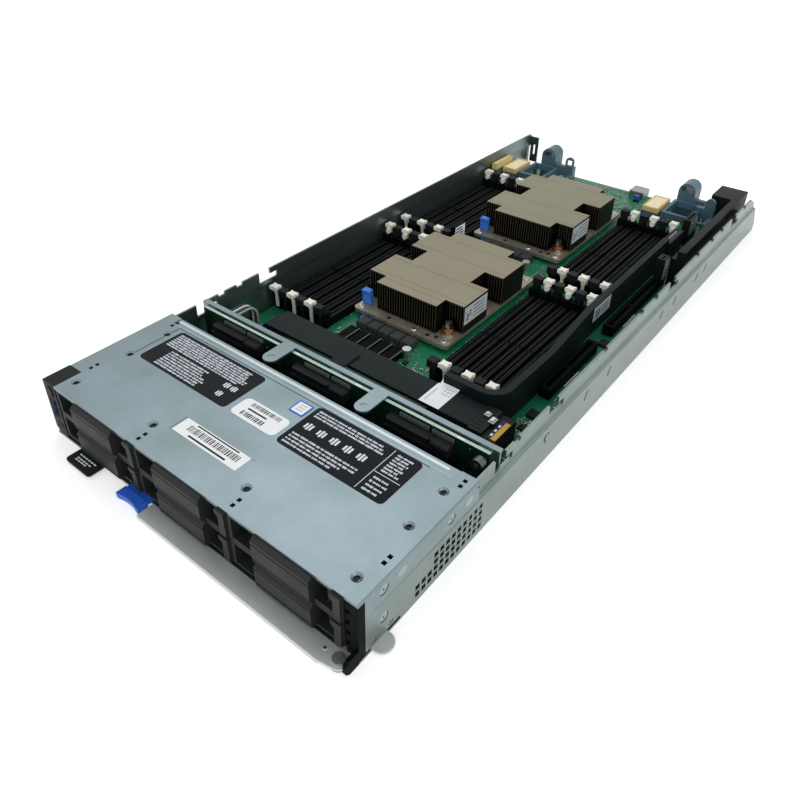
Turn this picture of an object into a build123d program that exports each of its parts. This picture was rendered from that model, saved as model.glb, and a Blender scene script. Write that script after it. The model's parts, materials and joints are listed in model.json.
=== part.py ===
"""Half-height blade server sled with its top cover off: sheet-metal tray, drive bays, board and cooling.

Millimetres, +Z up. The origin is the centre of the underside. The front of the sled faces -Y, and
distances called "from the front" are counted along +Y from the front edge of the drive cover.
"""

import os

from build123d import *

os.makedirs("parts", exist_ok=True)

# Overall sled
sled_width = 250.2
half_width = sled_width / 2
sled_height = 42.15
tray_length = 582.0
sheet = 1.5
slip = 0.3
pin_fit = 0.05

# Tray walls, with a joggle that lets the covers sit flush
fold_height = 26.5
joggle = sheet + slip
left_wall_start = 18.6
right_wall_start = 4.6
rear_chamfer_length = 32.0
rear_chamfer_drop = 6.6
rear_slope_length = 19.0
rear_slope_bottom = 6.5
rear_corner = 3.0
rear_lip_height = 3.2
rear_flange_width = 9.0
rear_flange_bottom = 10.0
rear_slot_width = 2.4
rear_slot_length = 11.0

# Side vents
vent_size = 3.4
vent_pitch = 5.0
vent_rows = 4
vent_columns = 9
vent_first = 58.5
vent_low = 5.8
small_vent_rows = 2
small_vent_columns = 3

# Cover hook slots and notches along the top of the walls
hook_slot_entry = 11.0
hook_slot_run = 18.0
hook_slot_height = 4.6
hook_slot_lip = 4.4
hook_slot_places = (113.0, 172.0, 356.0, 497.0)
left_hook_places = (113.0, 172.0)
notch_length = 6.0
notch_depth = 2.2
notch_places = (136.0, 246.0, 304.0, 330.0, 414.0, 447.0, 471.0, 531.0)
left_notch_places = (136.0, 153.0)
dimple_length = 7.0
dimple_width = 2.4
dimple_depth = 0.5
dimple_tilt = 62.0
dimple_height = 19.0
dimple_places = (170.0, 221.0, 255.0, 345.0, 371.0, 418.0, 438.0)

# Side screws
side_screw_r = 3.0
small_screw_r = 1.6
screw_gap = 0.2
side_screw_depth = 0.9
side_screw_recess = 1.1
side_screw_front = 17.7
side_screw_rear = 70.3
side_screw_low = 15.7
side_screw_high = 35.4
small_screw_front = 11.8
small_screw_rear = 22.9
small_screw_z = 6.4

# Drive cover
cover_depth = 95.0
cover_flange_bottom = fold_height + joggle + slip
cover_edge_r = 0.9
cover_lip = 7.0
cover_lip_drop = 0.6
cover_lip_margin = 11.0
label_drop = 0.35
label_field_x = -3.0
label_field_width = sled_width - 44.2
label_field_y = 66.5
label_field_depth = 41.0
small_label_x = -2.0
small_label_width = 56.0
small_label_y = 26.6
small_label_depth = 12.4
small_label_drop = 0.2
label_corner_r = 1.0
cover_hole_r = 1.8
cover_dimple_r = 3.0
cover_dimple_angle = 100.0
cover_hole_rows = (11.3, 49.0, 77.5)
cover_hole_left = -half_width + 18.1
cover_hole_right = half_width - 10.3
divider_hole_y = 17.0
divider_hole_offset = 3.6
tie_mark = 2.4
tie_mark_gap = 4.4
tie_mark_front = 7.0
tie_mark_sides = (27.0, 87.8)
tie_mark_left = -half_width + 12.8
tie_mark_right = half_width - 5.8

# Control panel housing at the left front corner
ear_width = 12.0
ear_depth = 18.2
ear_corner = 4.0
port_width = 6.4
port_height = 14.0
port_depth = 11.0
port_z = 22.5
port_shell = 0.5
power_width = 5.0
power_height = 8.0
power_z = 35.2
power_well = 3.4
power_proud = 0.6
power_travel = 1.2
ear_groove = 0.8
ear_groove_z = 11.0

# Drive cage with three columns of two bays
bay_columns = 3
divider = 1.2
cage_left_gap = 12.3
cage_right_gap = 8.1
cage_width = sled_width - cage_left_gap - cage_right_gap
bay_width = (cage_width - (bay_columns + 1) * divider) / bay_columns
cage_left = -half_width + cage_left_gap
cage_floor_z = 3.6
cage_floor = 1.0
cage_depth = 96.0
cage_front = 4.0
runner_width = 3.0
runner = 1.0

# Drive blanks
blank_depth = 82.0
blank_wall = 1.4
blank_front = 0.3
blank_overlap = 0.7
blank_face = 2.0
blank_recess = 15.0
blank_latch_recess = 10.0
blank_block_left = 19.0
blank_block_width = 38.0
blank_block_proud = 3.2
blank_block_bevel = 2.4
blank_block_foot = 1.0
blank_latch_x = 63.0
blank_latch_width = 3.2
blank_latch_set = 3.0
blank_post_width = 4.4
blank_post_proud = 1.6
blank_cap_width = 6.6
blank_cap_height = 3.4
blank_cap_proud = 2.2

# Release lever, its pivot and its button
pivot_x = half_width - 7.6
pivot_y = -5.5
pivot_r = 2.0
pivot_head_r = 3.2
pivot_head = 0.8
tongue_r = 4.4
lever_end_r = 5.0
lever_free_x = -26.0
lever_back = -1.0
lever_top_depth = 9.5
lever_flange_drop = 1.5
lever_flange_gap = 8.0
hook_arm_half = 4.0
hook_front = 8.0
hook_rear = 20.0
hook_reach = half_width + 7.9
hook_nose_r = 5.6
hook_sweep_rear = 30.0
button_x = -38.6
button_width = 20.0
button_front = -9.6
button_back = -2.8
button_bottom = 0.5
button_top = 4.3
button_scoop_r = 30.0
button_scoop_depth = 1.2
button_neck_width = 20.0
button_neck_end = 14.0

# Pull-out tag
tag_x = -85.0
tag_width = 24.0
tag_front = -12.0
tag_length = 84.0
tag_corner_r = 2.2

# Bracket at the right front corner
bracket_left = half_width - 7.5
bracket_notch = 2.4
bracket_notch_count = 4
bracket_post_left = half_width - 2.2
bracket_post_front = -9.0
bracket_post_top = 10.0

# Drive backplane
backplane_y = 116.0
backplane_thickness = 2.4
backplane_side_gap = 4.2
backplane_top = 40.2
rail_gap = 0.9
rail_strip = 3.6
rail_flange_bottom = 26.0
tongue_width = 10.8
tongue_front = 103.0
tongue_dimple_r = 2.2
tongue_dimple = 0.3
rail_foot = 8.0
connector_offset = 11.0
connector_width = 45.0
connector_power_width = 12.0
connector_height = 6.4
connector_length = 8.0
connector_step = 2.2
connector_lift = 5.6
thumb_x = half_width - 11.6
thumb_z = 34.6
thumb_r = 3.7
thumb_neck_r = 2.2
thumb_length = 6.4
thumb_neck = 1.6

# System board
board_front = 124.0
board_rear = 577.0
board_side_gap = 1.6
board_z = 5.0
board_thickness = 1.6
board_top = board_z + board_thickness
standoff_r = 3.0
hex_sides = 6
standoff_columns = 4
standoff_column_pitch = 72.0
standoff_rows = 4
standoff_row_pitch = 128.0

# Memory sockets and their latches
row_front = 182.7
latch_span = 141.0
bank_pitch = 163.3
socket_pitch = 9.15
sockets_per_bank = 6
left_bank_x = -half_width + 8.4
right_bank_x = half_width - 92.25
socket_width = 6.4
socket_height = 7.4
socket_slot = 1.6
socket_slot_depth = 4.6
key_length = 2.4
key_place = 62.0
tower_width = 7.2
tower_length = 7.0
tower_height = 13.4
tower_slot_depth = 4.6
latch_inset = 1.0
stem_width = 2.6
stem_depth = 4.0
stem_bottom = 2.1
head_bottom = 17.6
dark_head_bottom = 14.4
dark_head_height = 6.0
head_height = 3.6
head_width = 7.0
head_depth = 6.0

# Processors and heat sinks
sink_x = -23.0
sink_y = 278.3
sink_pitch = 166.2
cpu_width = 72.0
cpu_length = 110.0
cpu_height = 3.4
sink_base_width = 87.0
sink_base_length = 126.0
sink_base = 3.0
sink_base_corner = 3.0
fin_block_width = 87.0
fin_block_length = 107.4
fin_top = 36.5
fin_skin = 0.9
fin_thickness = 0.6
fin_count = 38
fin_corner_x = 16.0
fin_corner_y = 11.6
fin_notch_x = 16.4
fin_notch_y = 20.6
post_x = 35.0
post_y = 48.0
post_r = 2.6
post_height = 10.5
post_collar_r = 4.2
post_collar = 1.6
clip_x = -38.0
clip_y = -53.5
clip_width = 8.0
clip_thickness = 3.4
clip_height = 12.5
clip_pad = 1.6
clip_nose = 0.9

# Small parts on the board
choke = 9.4
choke_height = 6.0
choke_pitch = 10.4
choke_count = 5
choke_x = -27.0
choke_gap = 8.0
choke_corner = 0.8
cap_r = 3.2
cap_height = 7.6
cap_count = 1
cap_pitch = 9.0
cap_x = 1.0
cap_gap = 20.0
chip_height = 2.0
chip_size = 15.0
chip_x = half_width - 22.1
chip_places = (196.0, 299.0, 444.0)

# Card slots by the right wall
slot_x = half_width - 26.1
slot_width = 8.0
slot_front_start = 216.0
slot_front_length = 71.0
slot_rear_start = 311.0
slot_rear_length = 89.0
slot_height = 8.4
slot_gap = 2.6
slot_gap_depth = 6.0
slot_key = 2.2
slot_key_place = 0.42

# Mezzanine connectors and their guide frames
mezzanine_left_x = -half_width + 18.6
mezzanine_right_x = half_width - 77.9
mezzanine_y = 525.0
mezzanine_width = 15.0
mezzanine_length = 31.0
mezzanine_top = 26.0
mezzanine_rim = 1.6
mezzanine_rim_depth = 1.4
wall_connector_x = -half_width + 6.7
wall_connector_width = 5.6
wall_connector_y = 515.0
wall_connector_length = 32.0
wall_connector_top = 31.0
frame_gap = 1.2
frame_width = 28.0
frame_bar = 3.0
frame_bottom = 17.0
frame_top = 23.0
frame_front = 514.0
frame_back = 550.0
tower_span = 16.0
tower_back = 567.0
tower_top = 40.8
tower_window = 11.6
tower_window_height = 5.4
tower_window_z = 35.0
left_tower_offset = 6.8
right_tower_offset = 1.6
post_span = 9.0
post_depth = 7.5
post_shoulder = 27.0
post_top = 37.5
post_hoop = 2.6
post_window = 5.6
post_window_height = 6.0
left_post_offset = 7.6
right_post_offset = 4.6
left_post_front = 548.0
right_post_front = 535.5
cell_front = 517.0
cell_top = 20.0
beam_depth = 5.0
beam_rise = 4.0

# Shroud along the rear right corner
shroud_right = half_width - 11.1
shroud_arm = 6.3
shroud_head = 24.0
shroud_front = 413.0
shroud_head_front = 544.5
shroud_rear = 573.0
shroud_top = 38.6
shroud_wall = 1.8
shroud_ledge = 4.6
shroud_ledge_top = 30.0
shroud_foot = 10.5
shroud_foot_length = 14.0
shroud_foot_top = 31.0

# Cables held inside the sled
ribbon_left = -half_width + 33.1
ribbon_right = half_width - 39.1
ribbon_y = 156.0
ribbon_width = 22.0
ribbon_top = 24.0
ribbon = 2.6
ribbon_fold_r = 6.0
plug_length = 19.0
plug_margin = 1.6
plug_top = 21.8
side_cable_start_x = half_width - 74.0
side_cable_start = 150.0
side_cable_front = 173.5
side_cable_corner_x = half_width - 37.1
side_cable_swell_x = half_width - 36.1
side_cable_swell = 235.0
side_cable_x = half_width - 40.6
side_cable_straight = 300.0
side_cable_thickness = 5.0
side_cable_height = 24.0
side_cable_low_height = 13.0
side_cable_lift = 0.4
side_cable_bend = 10.0
side_cable_end = 446.0
side_plug_length = 32.0
side_plug_margin = 1.6
side_plug_height = 20.4

# Upright connector blocks beside the card slots
inner_block_x = half_width - 37.3
inner_block_width = 6.5
inner_block_front = 492.0
inner_block_length = 21.0
inner_block_top = 31.0
outer_block_x = half_width - 25.6
outer_block_width = 7.0
outer_block_front = 402.0
outer_block_length = 10.0
outer_block_top = 33.0
block_slot = 1.6
block_slot_depth = 3.0

# Thin wires of the control panel
wire_r = 0.9
wire_count = 4
wire_pitch = 2.6
wire_x = -half_width + 17.1
wire_top = 30.0
wire_reach = 152.0
wire_bend = 9.0
wire_plug_width = 12.6
wire_plug_depth = 6.0
wire_plug_height = 7.0
wire_header_height = 5.0

# Port shell at the rear edge
rear_port_x = 12.5
rear_port_width = 15.0
rear_port_front = 564.0
rear_port_length = 16.0
rear_port_height = 7.4
rear_port_wall = 0.6

# Derived places
front = -tray_length / 2
rear = tray_length / 2
wall_top = sled_height - sheet
upper_outer = half_width - joggle
upper_inner = upper_outer - sheet
lower_inner = half_width - sheet
lever_bottom = sheet + slip
lever_top = lever_bottom + sheet
cage_base = cage_floor_z + cage_floor
cage_pitch = bay_width + divider
cage_right = cage_left + bay_columns * cage_pitch + divider
bay_height = (wall_top - cage_base - runner) / 2
upper_bay_z = cage_base + bay_height + runner
blank_width = bay_width - 2 * slip
blank_height = bay_height - 2 * slip
rail_y = backplane_y + backplane_thickness + rail_gap
rail_z = backplane_top + slip
sink_base_z = board_top + cpu_height
fin_bottom = sink_base_z + sink_base
sink_places = (sink_y, sink_y + sink_pitch)
bank_places = (row_front, row_front + bank_pitch)
left_sockets = [left_bank_x + socket_pitch * i for i in range(sockets_per_bank)]
right_sockets = [right_bank_x + socket_pitch * i for i in range(sockets_per_bank)]
low = (Align.CENTER, Align.CENTER, Align.MIN)


def across(distance):
    """Plane across the sled, facing forward, at a distance from the front."""
    return Plane.XZ.offset(-(front + distance))


def block(x_low, x_high, y_low, y_high, z_low, z_high, mode=Mode.ADD):
    """Rectangular block in the part being built, its y limits counted from the front."""
    centre = ((x_low + x_high) / 2, front + (y_low + y_high) / 2, z_low)
    with Locations(centre):
        Box(x_high - x_low, y_high - y_low, z_high - z_low, align=low, mode=mode)


# Tray: base sheet, joggled side walls, vents, hook slots and the tongue that carries the lever
with BuildPart() as chassis_tray:
    with BuildSketch(across(right_wall_start)):
        with BuildLine():
            Polyline(
                (half_width, sheet),
                (half_width, fold_height),
                (upper_outer, fold_height + joggle),
                (upper_outer, wall_top),
                (upper_inner, wall_top),
                (upper_inner, fold_height + joggle),
                (lower_inner, fold_height),
                (lower_inner, sheet),
                close=True,
            )
        make_face()
    extrude(amount=-(tray_length - right_wall_start))
    mirror(about=Plane.YZ)
    with BuildSketch():
        Rectangle(sled_width, tray_length)
        with Locations((pivot_x, front + pivot_y)):
            Circle(tongue_r)
        with Locations((pivot_x, front + pivot_y / 2)):
            Rectangle(2 * tongue_r, -pivot_y)
        with Locations((pivot_x, front + pivot_y)):
            Circle(pivot_r, mode=Mode.SUBTRACT)
    extrude(amount=sheet)
    block(-half_width, -upper_inner, 0, left_wall_start, sheet, wall_top, mode=Mode.SUBTRACT)
    block(
        upper_inner - sheet, half_width, right_wall_start, hook_sweep_rear,
        sheet, cage_floor_z, mode=Mode.SUBTRACT,
    )
    with BuildSketch(Plane.YZ.offset(half_width)):
        big_width = (vent_columns - 1) * vent_pitch
        big_height = (vent_rows - 1) * vent_pitch
        with Locations((front + vent_first + big_width / 2, vent_low + big_height / 2)):
            with GridLocations(vent_pitch, vent_pitch, vent_columns, vent_rows):
                Rectangle(vent_size, vent_size)
        small_width = (small_vent_columns + 1) * vent_pitch
        with Locations((front + vent_first - small_width / 2, vent_low + vent_pitch / 2)):
            with GridLocations(vent_pitch, vent_pitch, small_vent_columns, small_vent_rows):
                Rectangle(vent_size, vent_size)
    extrude(amount=-sled_width, mode=Mode.SUBTRACT)
    run_z = wall_top - hook_slot_lip - hook_slot_height / 2
    for side, hooks, notches in (
        (1, hook_slot_places, notch_places),
        (-1, left_hook_places, left_notch_places),
    ):
        with BuildSketch(Plane.YZ.offset(side * half_width)):
            for place in hooks:
                with Locations((front + place + hook_slot_run / 2, run_z)):
                    Rectangle(hook_slot_run, hook_slot_height)
                with Locations((front + place + hook_slot_entry / 2, wall_top - hook_slot_lip / 2)):
                    Rectangle(hook_slot_entry, hook_slot_lip)
            for place in notches:
                with Locations((front + place, wall_top - notch_depth / 2)):
                    Rectangle(notch_length, notch_depth)
        extrude(amount=-side * 2 * (joggle + sheet), mode=Mode.SUBTRACT)
    with BuildSketch(Plane.YZ.offset(half_width)):
        with BuildLine():
            Polyline(
                (rear - rear_chamfer_length, wall_top),
                (rear, wall_top),
                (rear, rear_slope_bottom),
                (rear - rear_slope_length, wall_top - rear_chamfer_drop),
                close=True,
            )
        make_face()
    extrude(amount=-half_width, mode=Mode.SUBTRACT)
    with BuildSketch(Plane.YZ.offset(-half_width)):
        with BuildLine():
            Polyline(
                (rear - rear_corner, wall_top),
                (rear, wall_top),
                (rear, wall_top - rear_corner),
                close=True,
            )
        make_face()
    extrude(amount=half_width, mode=Mode.SUBTRACT)
    for side in (1, -1):
        with BuildSketch(Plane.YZ.offset(side * half_width)):
            for place in dimple_places:
                with Locations((front + place, dimple_height)):
                    Rectangle(dimple_length, dimple_width, rotation=dimple_tilt)
        extrude(amount=-side * dimple_depth, mode=Mode.SUBTRACT)
    with BuildSketch(Plane.YZ.offset(half_width)):
        with Locations((front + side_screw_front, side_screw_low)):
            Circle(side_screw_r + screw_gap)
        for place in (small_screw_front, small_screw_rear):
            with Locations((front + place, small_screw_z)):
                Circle(small_screw_r + screw_gap)
    extrude(amount=-sheet, mode=Mode.SUBTRACT)
    block(-lower_inner, lower_inner, tray_length - sheet, tray_length, sheet, sheet + rear_lip_height)
    with BuildSketch(across(tray_length - sheet)):
        flange_x = -upper_inner + rear_flange_width / 2
        flange_height = wall_top - rear_corner - rear_flange_bottom
        with Locations((flange_x, rear_flange_bottom + flange_height / 2)):
            Rectangle(rear_flange_width, flange_height)
            Rectangle(rear_slot_width, rear_slot_length, mode=Mode.SUBTRACT)
    extrude(amount=-sheet)
chassis_tray.part.label = "chassis_tray"
export_step(chassis_tray.part, "parts/chassis_tray.step")

# Flush screws that hold the cover flange and the drive cage on the right wall
with BuildPart() as side_screws:
    for place, height, radius in (
        (side_screw_front, side_screw_high, side_screw_r),
        (side_screw_rear, side_screw_high, side_screw_r),
        (side_screw_front, side_screw_low, side_screw_r),
        (small_screw_front, small_screw_z, small_screw_r),
        (small_screw_rear, small_screw_z, small_screw_r),
    ):
        with BuildSketch(Plane.YZ.offset(half_width - slip)):
            with Locations((front + place, height)):
                Circle(radius)
                Rectangle(side_screw_recess, side_screw_recess, rotation=45, mode=Mode.SUBTRACT)
        extrude(amount=-side_screw_depth)
side_screws.part.label = "side_screws"
export_step(side_screws.part, "parts/side_screws.step")

# Cover over the drive bays: plate, folded flanges, label panels, dimpled holes and tie marks
with BuildPart() as drive_cover:
    with BuildSketch(Plane.XY.offset(wall_top)):
        with Locations((0, front + cover_depth / 2)):
            Rectangle(sled_width, cover_depth)
        corner_width = ear_width + slip
        corner_depth = ear_depth + slip
        with Locations((-half_width + corner_width / 2, front + corner_depth / 2)):
            Rectangle(corner_width, corner_depth, mode=Mode.SUBTRACT)
    extrude(amount=sheet)
    block(lower_inner, half_width, right_wall_start, cover_depth, cover_flange_bottom, wall_top)
    block(-half_width, -lower_inner, left_wall_start, cover_depth, cover_flange_bottom, wall_top)
    long_edges = drive_cover.edges().filter_by(Axis.Y).group_by(Axis.Z)[-1]
    fillet([long_edges.sort_by(Axis.X)[0], long_edges.sort_by(Axis.X)[-1]], cover_edge_r)
    block(
        -half_width + cover_lip_margin, half_width - cover_lip_margin,
        cover_depth - cover_lip, cover_depth,
        sled_height - cover_lip_drop, sled_height, mode=Mode.SUBTRACT,
    )
    with BuildSketch(Plane.XY.offset(sled_height)):
        with Locations((label_field_x, front + label_field_y)):
            RectangleRounded(label_field_width, label_field_depth, label_corner_r)
    extrude(amount=-label_drop, mode=Mode.SUBTRACT)
    with BuildSketch(Plane.XY.offset(sled_height)):
        with Locations((small_label_x, front + small_label_y)):
            Rectangle(small_label_width, small_label_depth)
    extrude(amount=-small_label_drop, mode=Mode.SUBTRACT)
    edge_holes = [(x, front + y, sled_height) for x in (cover_hole_left, cover_hole_right)
                  for y in cover_hole_rows]
    divider_holes = [
        (cage_left + cage_pitch * column + divider / 2 - divider_hole_offset,
         front + divider_hole_y, sled_height)
        for column in range(1, bay_columns)
    ]
    with Locations(*edge_holes, *divider_holes):
        CounterSinkHole(cover_hole_r, cover_dimple_r, 2 * sheet, cover_dimple_angle)
    with BuildSketch(Plane.XY.offset(sled_height)):
        for x in (tie_mark_left, tie_mark_right):
            for y in tie_mark_sides:
                with Locations((x, front + y)):
                    with GridLocations(tie_mark_gap, tie_mark_gap, 1, 2):
                        Rectangle(tie_mark, tie_mark)
        for column in range(1, bay_columns):
            with Locations((cage_left + cage_pitch * column + divider / 2, front + tie_mark_front)):
                with GridLocations(tie_mark_gap, tie_mark_gap, 1, 2):
                    Rectangle(tie_mark, tie_mark)
    extrude(amount=-2 * sheet, mode=Mode.SUBTRACT)
    with BuildSketch(Plane.YZ.offset(half_width)):
        for place in (side_screw_front, side_screw_rear):
            with Locations((front + place, side_screw_high)):
                Circle(side_screw_r + screw_gap)
    extrude(amount=-sheet, mode=Mode.SUBTRACT)
drive_cover.part.label = "drive_cover"
export_step(drive_cover.part, "parts/drive_cover.step")

# Drive cage: floor, side walls, dividers and the runners that carry the upper blanks
with BuildPart() as drive_cage:
    block(cage_left, cage_right, cage_front, cage_depth, cage_floor_z, cage_base)
    for column in range(bay_columns + 1):
        wall_x = cage_left + cage_pitch * column
        block(wall_x, wall_x + divider, cage_front, cage_depth, cage_floor_z, wall_top)
        runner_low = wall_x - runner_width if column > 0 else wall_x
        runner_high = wall_x + divider + (runner_width if column < bay_columns else 0)
        runner_z = cage_base + bay_height
        block(runner_low, runner_high, cage_front, cage_depth, runner_z, runner_z + runner)
    for foot_x in (cage_left, cage_right - divider):
        block(foot_x, foot_x + divider, hook_sweep_rear, cage_depth, sheet, cage_floor_z)
drive_cage.part.label = "drive_cage"
export_step(drive_cage.part, "parts/drive_cage.step")


def make_blank(left, bottom, bezel_low, bezel_high):
    """Moulded filler that closes one drive bay: bezel with recesses, raised block, latch bar and post."""
    right = left + blank_width
    top = bottom + blank_height
    body_front = cage_front - slip
    back = body_front + blank_depth
    inner_low = bottom + blank_wall
    inner_high = top - blank_wall
    inner_front = body_front + blank_recess + blank_face
    block_left = left + blank_block_left
    block_right = block_left + blank_block_width
    post_left = right - blank_post_width
    post_x = right - blank_post_width / 2
    latch_left = left + blank_latch_x
    middle = (left + right) / 2
    with BuildPart() as blank:
        block(left, right, body_front, back, bottom, top)
        block(left - blank_overlap, right + blank_overlap, blank_front, body_front, bezel_low, bezel_high)
        for cell_left, cell_right in (
            (left + blank_wall, middle - blank_wall / 2),
            (middle + blank_wall / 2, right - blank_wall),
        ):
            block(
                cell_left, cell_right, inner_front, back, inner_low, inner_high, mode=Mode.SUBTRACT,
            )
        for recess_left, recess_right, depth in (
            (left + blank_wall, block_left, blank_recess),
            (block_right, post_left, blank_latch_recess),
        ):
            block(
                recess_left, recess_right, blank_front, body_front + depth, inner_low, inner_high,
                mode=Mode.SUBTRACT,
            )
        face_y = front + blank_front - blank_block_proud
        with BuildSketch(Plane.YZ.offset(block_left)):
            with BuildLine():
                Polyline(
                    (front + blank_front, bottom),
                    (face_y + blank_block_foot, bottom),
                    (face_y, bottom + blank_block_foot),
                    (face_y, top - blank_block_bevel),
                    (face_y + blank_block_bevel, top),
                    (front + blank_front, top),
                    close=True,
                )
            make_face()
        extrude(amount=blank_block_width)
        block(
            latch_left, latch_left + blank_latch_width,
            blank_front + blank_latch_set, body_front + blank_latch_recess,
            inner_low, inner_high,
        )
        with BuildSketch(across(blank_front - blank_post_proud)):
            with Locations((post_x, (bottom + top) / 2)):
                Rectangle(blank_post_width, blank_height)
        extrude(amount=-blank_post_proud)
        cap_left = right + blank_overlap - blank_cap_width
        with BuildSketch(across(blank_front - blank_cap_proud)):
            with BuildLine():
                Polyline(
                    (cap_left, top - blank_cap_height / 2),
                    (cap_left, top),
                    (cap_left + blank_cap_width, top),
                    (cap_left + blank_cap_width, top - blank_cap_height / 2),
                    (right, top - blank_cap_height),
                    (post_left, top - blank_cap_height),
                    close=True,
                )
            make_face()
        extrude(amount=-blank_cap_proud)
    return blank


# Six drive blanks, left to right, the lower one of each column first
bezel_split = cage_base + bay_height + runner / 2
for column in range(bay_columns):
    bay_left = cage_left + cage_pitch * column + divider + slip
    for level, bay_z, bezel_low, bezel_high in (
        ("lower", cage_base, cage_base + slip, bezel_split - slip / 2),
        ("upper", upper_bay_z, bezel_split + slip / 2, wall_top - slip),
    ):
        drive_blank = make_blank(bay_left, bay_z + slip, bezel_low, bezel_high)
        blank_name = f"drive_blank_{level}_{column + 1}"
        drive_blank.part.label = blank_name
        export_step(drive_blank.part, f"parts/{blank_name}.step")

# Control panel housing with its port opening and button well
with BuildPart() as control_panel_housing:
    ear_x = -half_width + ear_width / 2
    block(-half_width, -half_width + ear_width, 0, ear_depth, sheet, sled_height)
    outer_low = control_panel_housing.edges().filter_by(Axis.Y).group_by(Axis.Z)[0]
    chamfer(outer_low.sort_by(Axis.X)[0], ear_corner)
    block(
        ear_x - port_width / 2, ear_x + port_width / 2, 0, port_depth,
        port_z - port_height / 2, port_z + port_height / 2, mode=Mode.SUBTRACT,
    )
    with BuildSketch(across(0)):
        with Locations((ear_x, power_z)):
            SlotOverall(power_height + 2 * slip, power_width + 2 * slip, rotation=90)
    extrude(amount=-power_well, mode=Mode.SUBTRACT)
    for line in range(2):
        groove_z = ear_groove_z - line * 3 * ear_groove
        block(
            -half_width + ear_corner, -half_width + ear_width, 0, ear_groove,
            groove_z, groove_z + ear_groove, mode=Mode.SUBTRACT,
        )
control_panel_housing.part.label = "control_panel_housing"
export_step(control_panel_housing.part, "parts/control_panel_housing.step")

# Port shell set in the housing
with BuildPart() as front_port:
    block(
        ear_x - port_width / 2, ear_x + port_width / 2, slip, port_depth,
        port_z - port_height / 2, port_z + port_height / 2,
    )
    block(
        ear_x - port_width / 2 + port_shell, ear_x + port_width / 2 - port_shell,
        slip, port_depth - port_shell,
        port_z - port_height / 2 + port_shell, port_z + port_height / 2 - port_shell,
        mode=Mode.SUBTRACT,
    )
front_port.part.label = "front_port"
export_step(front_port.part, "parts/front_port.step")

# Power button in its well
with BuildPart() as power_button:
    with BuildSketch(across(-power_proud)):
        with Locations((ear_x, power_z)):
            SlotOverall(power_height, power_width, rotation=90)
    extrude(amount=-(power_well + power_proud - power_travel - slip))
power_button.part.label = "power_button"
export_step(power_button.part, "parts/power_button.step")

# Right corner bracket: notched strip in front of the wall, with a post beside the lever
with BuildPart() as corner_bracket:
    block(bracket_left, half_width, 0, right_wall_start, cage_floor_z, wall_top)
    notch_step = (wall_top - cage_floor_z) / (bracket_notch_count + 1)
    for notch in range(1, bracket_notch_count + 1):
        notch_z = cage_floor_z + notch_step * notch
        block(
            bracket_left, bracket_left + bracket_notch, 0, bracket_notch,
            notch_z - bracket_notch / 2, notch_z + bracket_notch / 2, mode=Mode.SUBTRACT,
        )
    block(
        bracket_post_left, half_width, bracket_post_front, 0, slip, bracket_post_top,
    )
    post_edges = corner_bracket.edges().filter_by(Axis.X).group_by(Axis.Y)[0]
    chamfer(post_edges, bracket_notch)
corner_bracket.part.label = "corner_bracket"
export_step(corner_bracket.part, "parts/corner_bracket.step")

# Release lever: flat handle with a turned-down front, round pivot end and the hook behind the pivot
with BuildPart() as release_lever:
    lever_front = lever_back - lever_top_depth
    flange_end = pivot_x - lever_flange_gap
    with BuildSketch(Plane.XY.offset(lever_bottom)):
        with BuildLine():
            Polyline(
                (pivot_x - hook_arm_half, front + pivot_y),
                (pivot_x - hook_arm_half, front + hook_rear),
                (hook_reach, front + hook_rear),
                (hook_reach, front + hook_front),
                (pivot_x + hook_arm_half, front + hook_front),
                (pivot_x + hook_arm_half, front + pivot_y),
                close=True,
            )
        hook = make_face()
        fillet(hook.vertices().group_by(Axis.X)[-1], hook_nose_r)
        with BuildLine():
            Polyline(
                (lever_free_x, front + lever_back),
                (lever_free_x, front + lever_front - sheet),
                (flange_end, front + lever_front - sheet),
                (pivot_x, front + pivot_y - lever_end_r),
                (pivot_x, front + lever_back),
                close=True,
            )
        make_face()
        with Locations((pivot_x, front + pivot_y)):
            Circle(lever_end_r)
        with Locations((pivot_x, front + pivot_y)):
            Circle(pivot_r + pin_fit, mode=Mode.SUBTRACT)
    extrude(amount=sheet)
    block(
        lever_free_x, flange_end, lever_front - sheet, lever_front,
        lever_bottom - lever_flange_drop, lever_bottom,
    )
release_lever.part.label = "release_lever"
export_step(release_lever.part, "parts/release_lever.step")

# Headed pin that carries the lever on the tray's tongue
with BuildPart() as lever_pivot:
    with Locations((pivot_x, front + pivot_y, 0)):
        Cylinder(pivot_r, lever_top + slip, align=low)
    with Locations((pivot_x, front + pivot_y, lever_top + slip)):
        Cylinder(pivot_head_r, pivot_head, align=low)
lever_pivot.part.label = "lever_pivot"
export_step(lever_pivot.part, "parts/lever_pivot.step")

# Blue release button with a scooped thumb face and a neck that slides over the base
with BuildPart() as release_button:
    with BuildSketch(Plane.XY.offset(button_bottom)):
        with Locations((button_x, front + (button_front + button_back) / 2)):
            Rectangle(button_width, button_back - button_front)
        with Locations((button_x, front + button_front + button_scoop_depth - button_scoop_r)):
            Circle(button_scoop_r, mode=Mode.SUBTRACT)
    extrude(amount=button_top - button_bottom)
    block(
        button_x - button_neck_width / 2, button_x + button_neck_width / 2,
        button_back, button_neck_end, lever_bottom, lever_top,
    )
release_button.part.label = "release_button"
export_step(release_button.part, "parts/release_button.step")

# Pull-out tag under the cage floor
with BuildPart() as info_tag:
    with BuildSketch(Plane.XY.offset(lever_bottom)):
        with Locations((tag_x, front + tag_front + tag_length / 2)):
            RectangleRounded(tag_width, tag_length, tag_corner_r)
    extrude(amount=sheet)
info_tag.part.label = "info_tag"
export_step(info_tag.part, "parts/info_tag.step")

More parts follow.
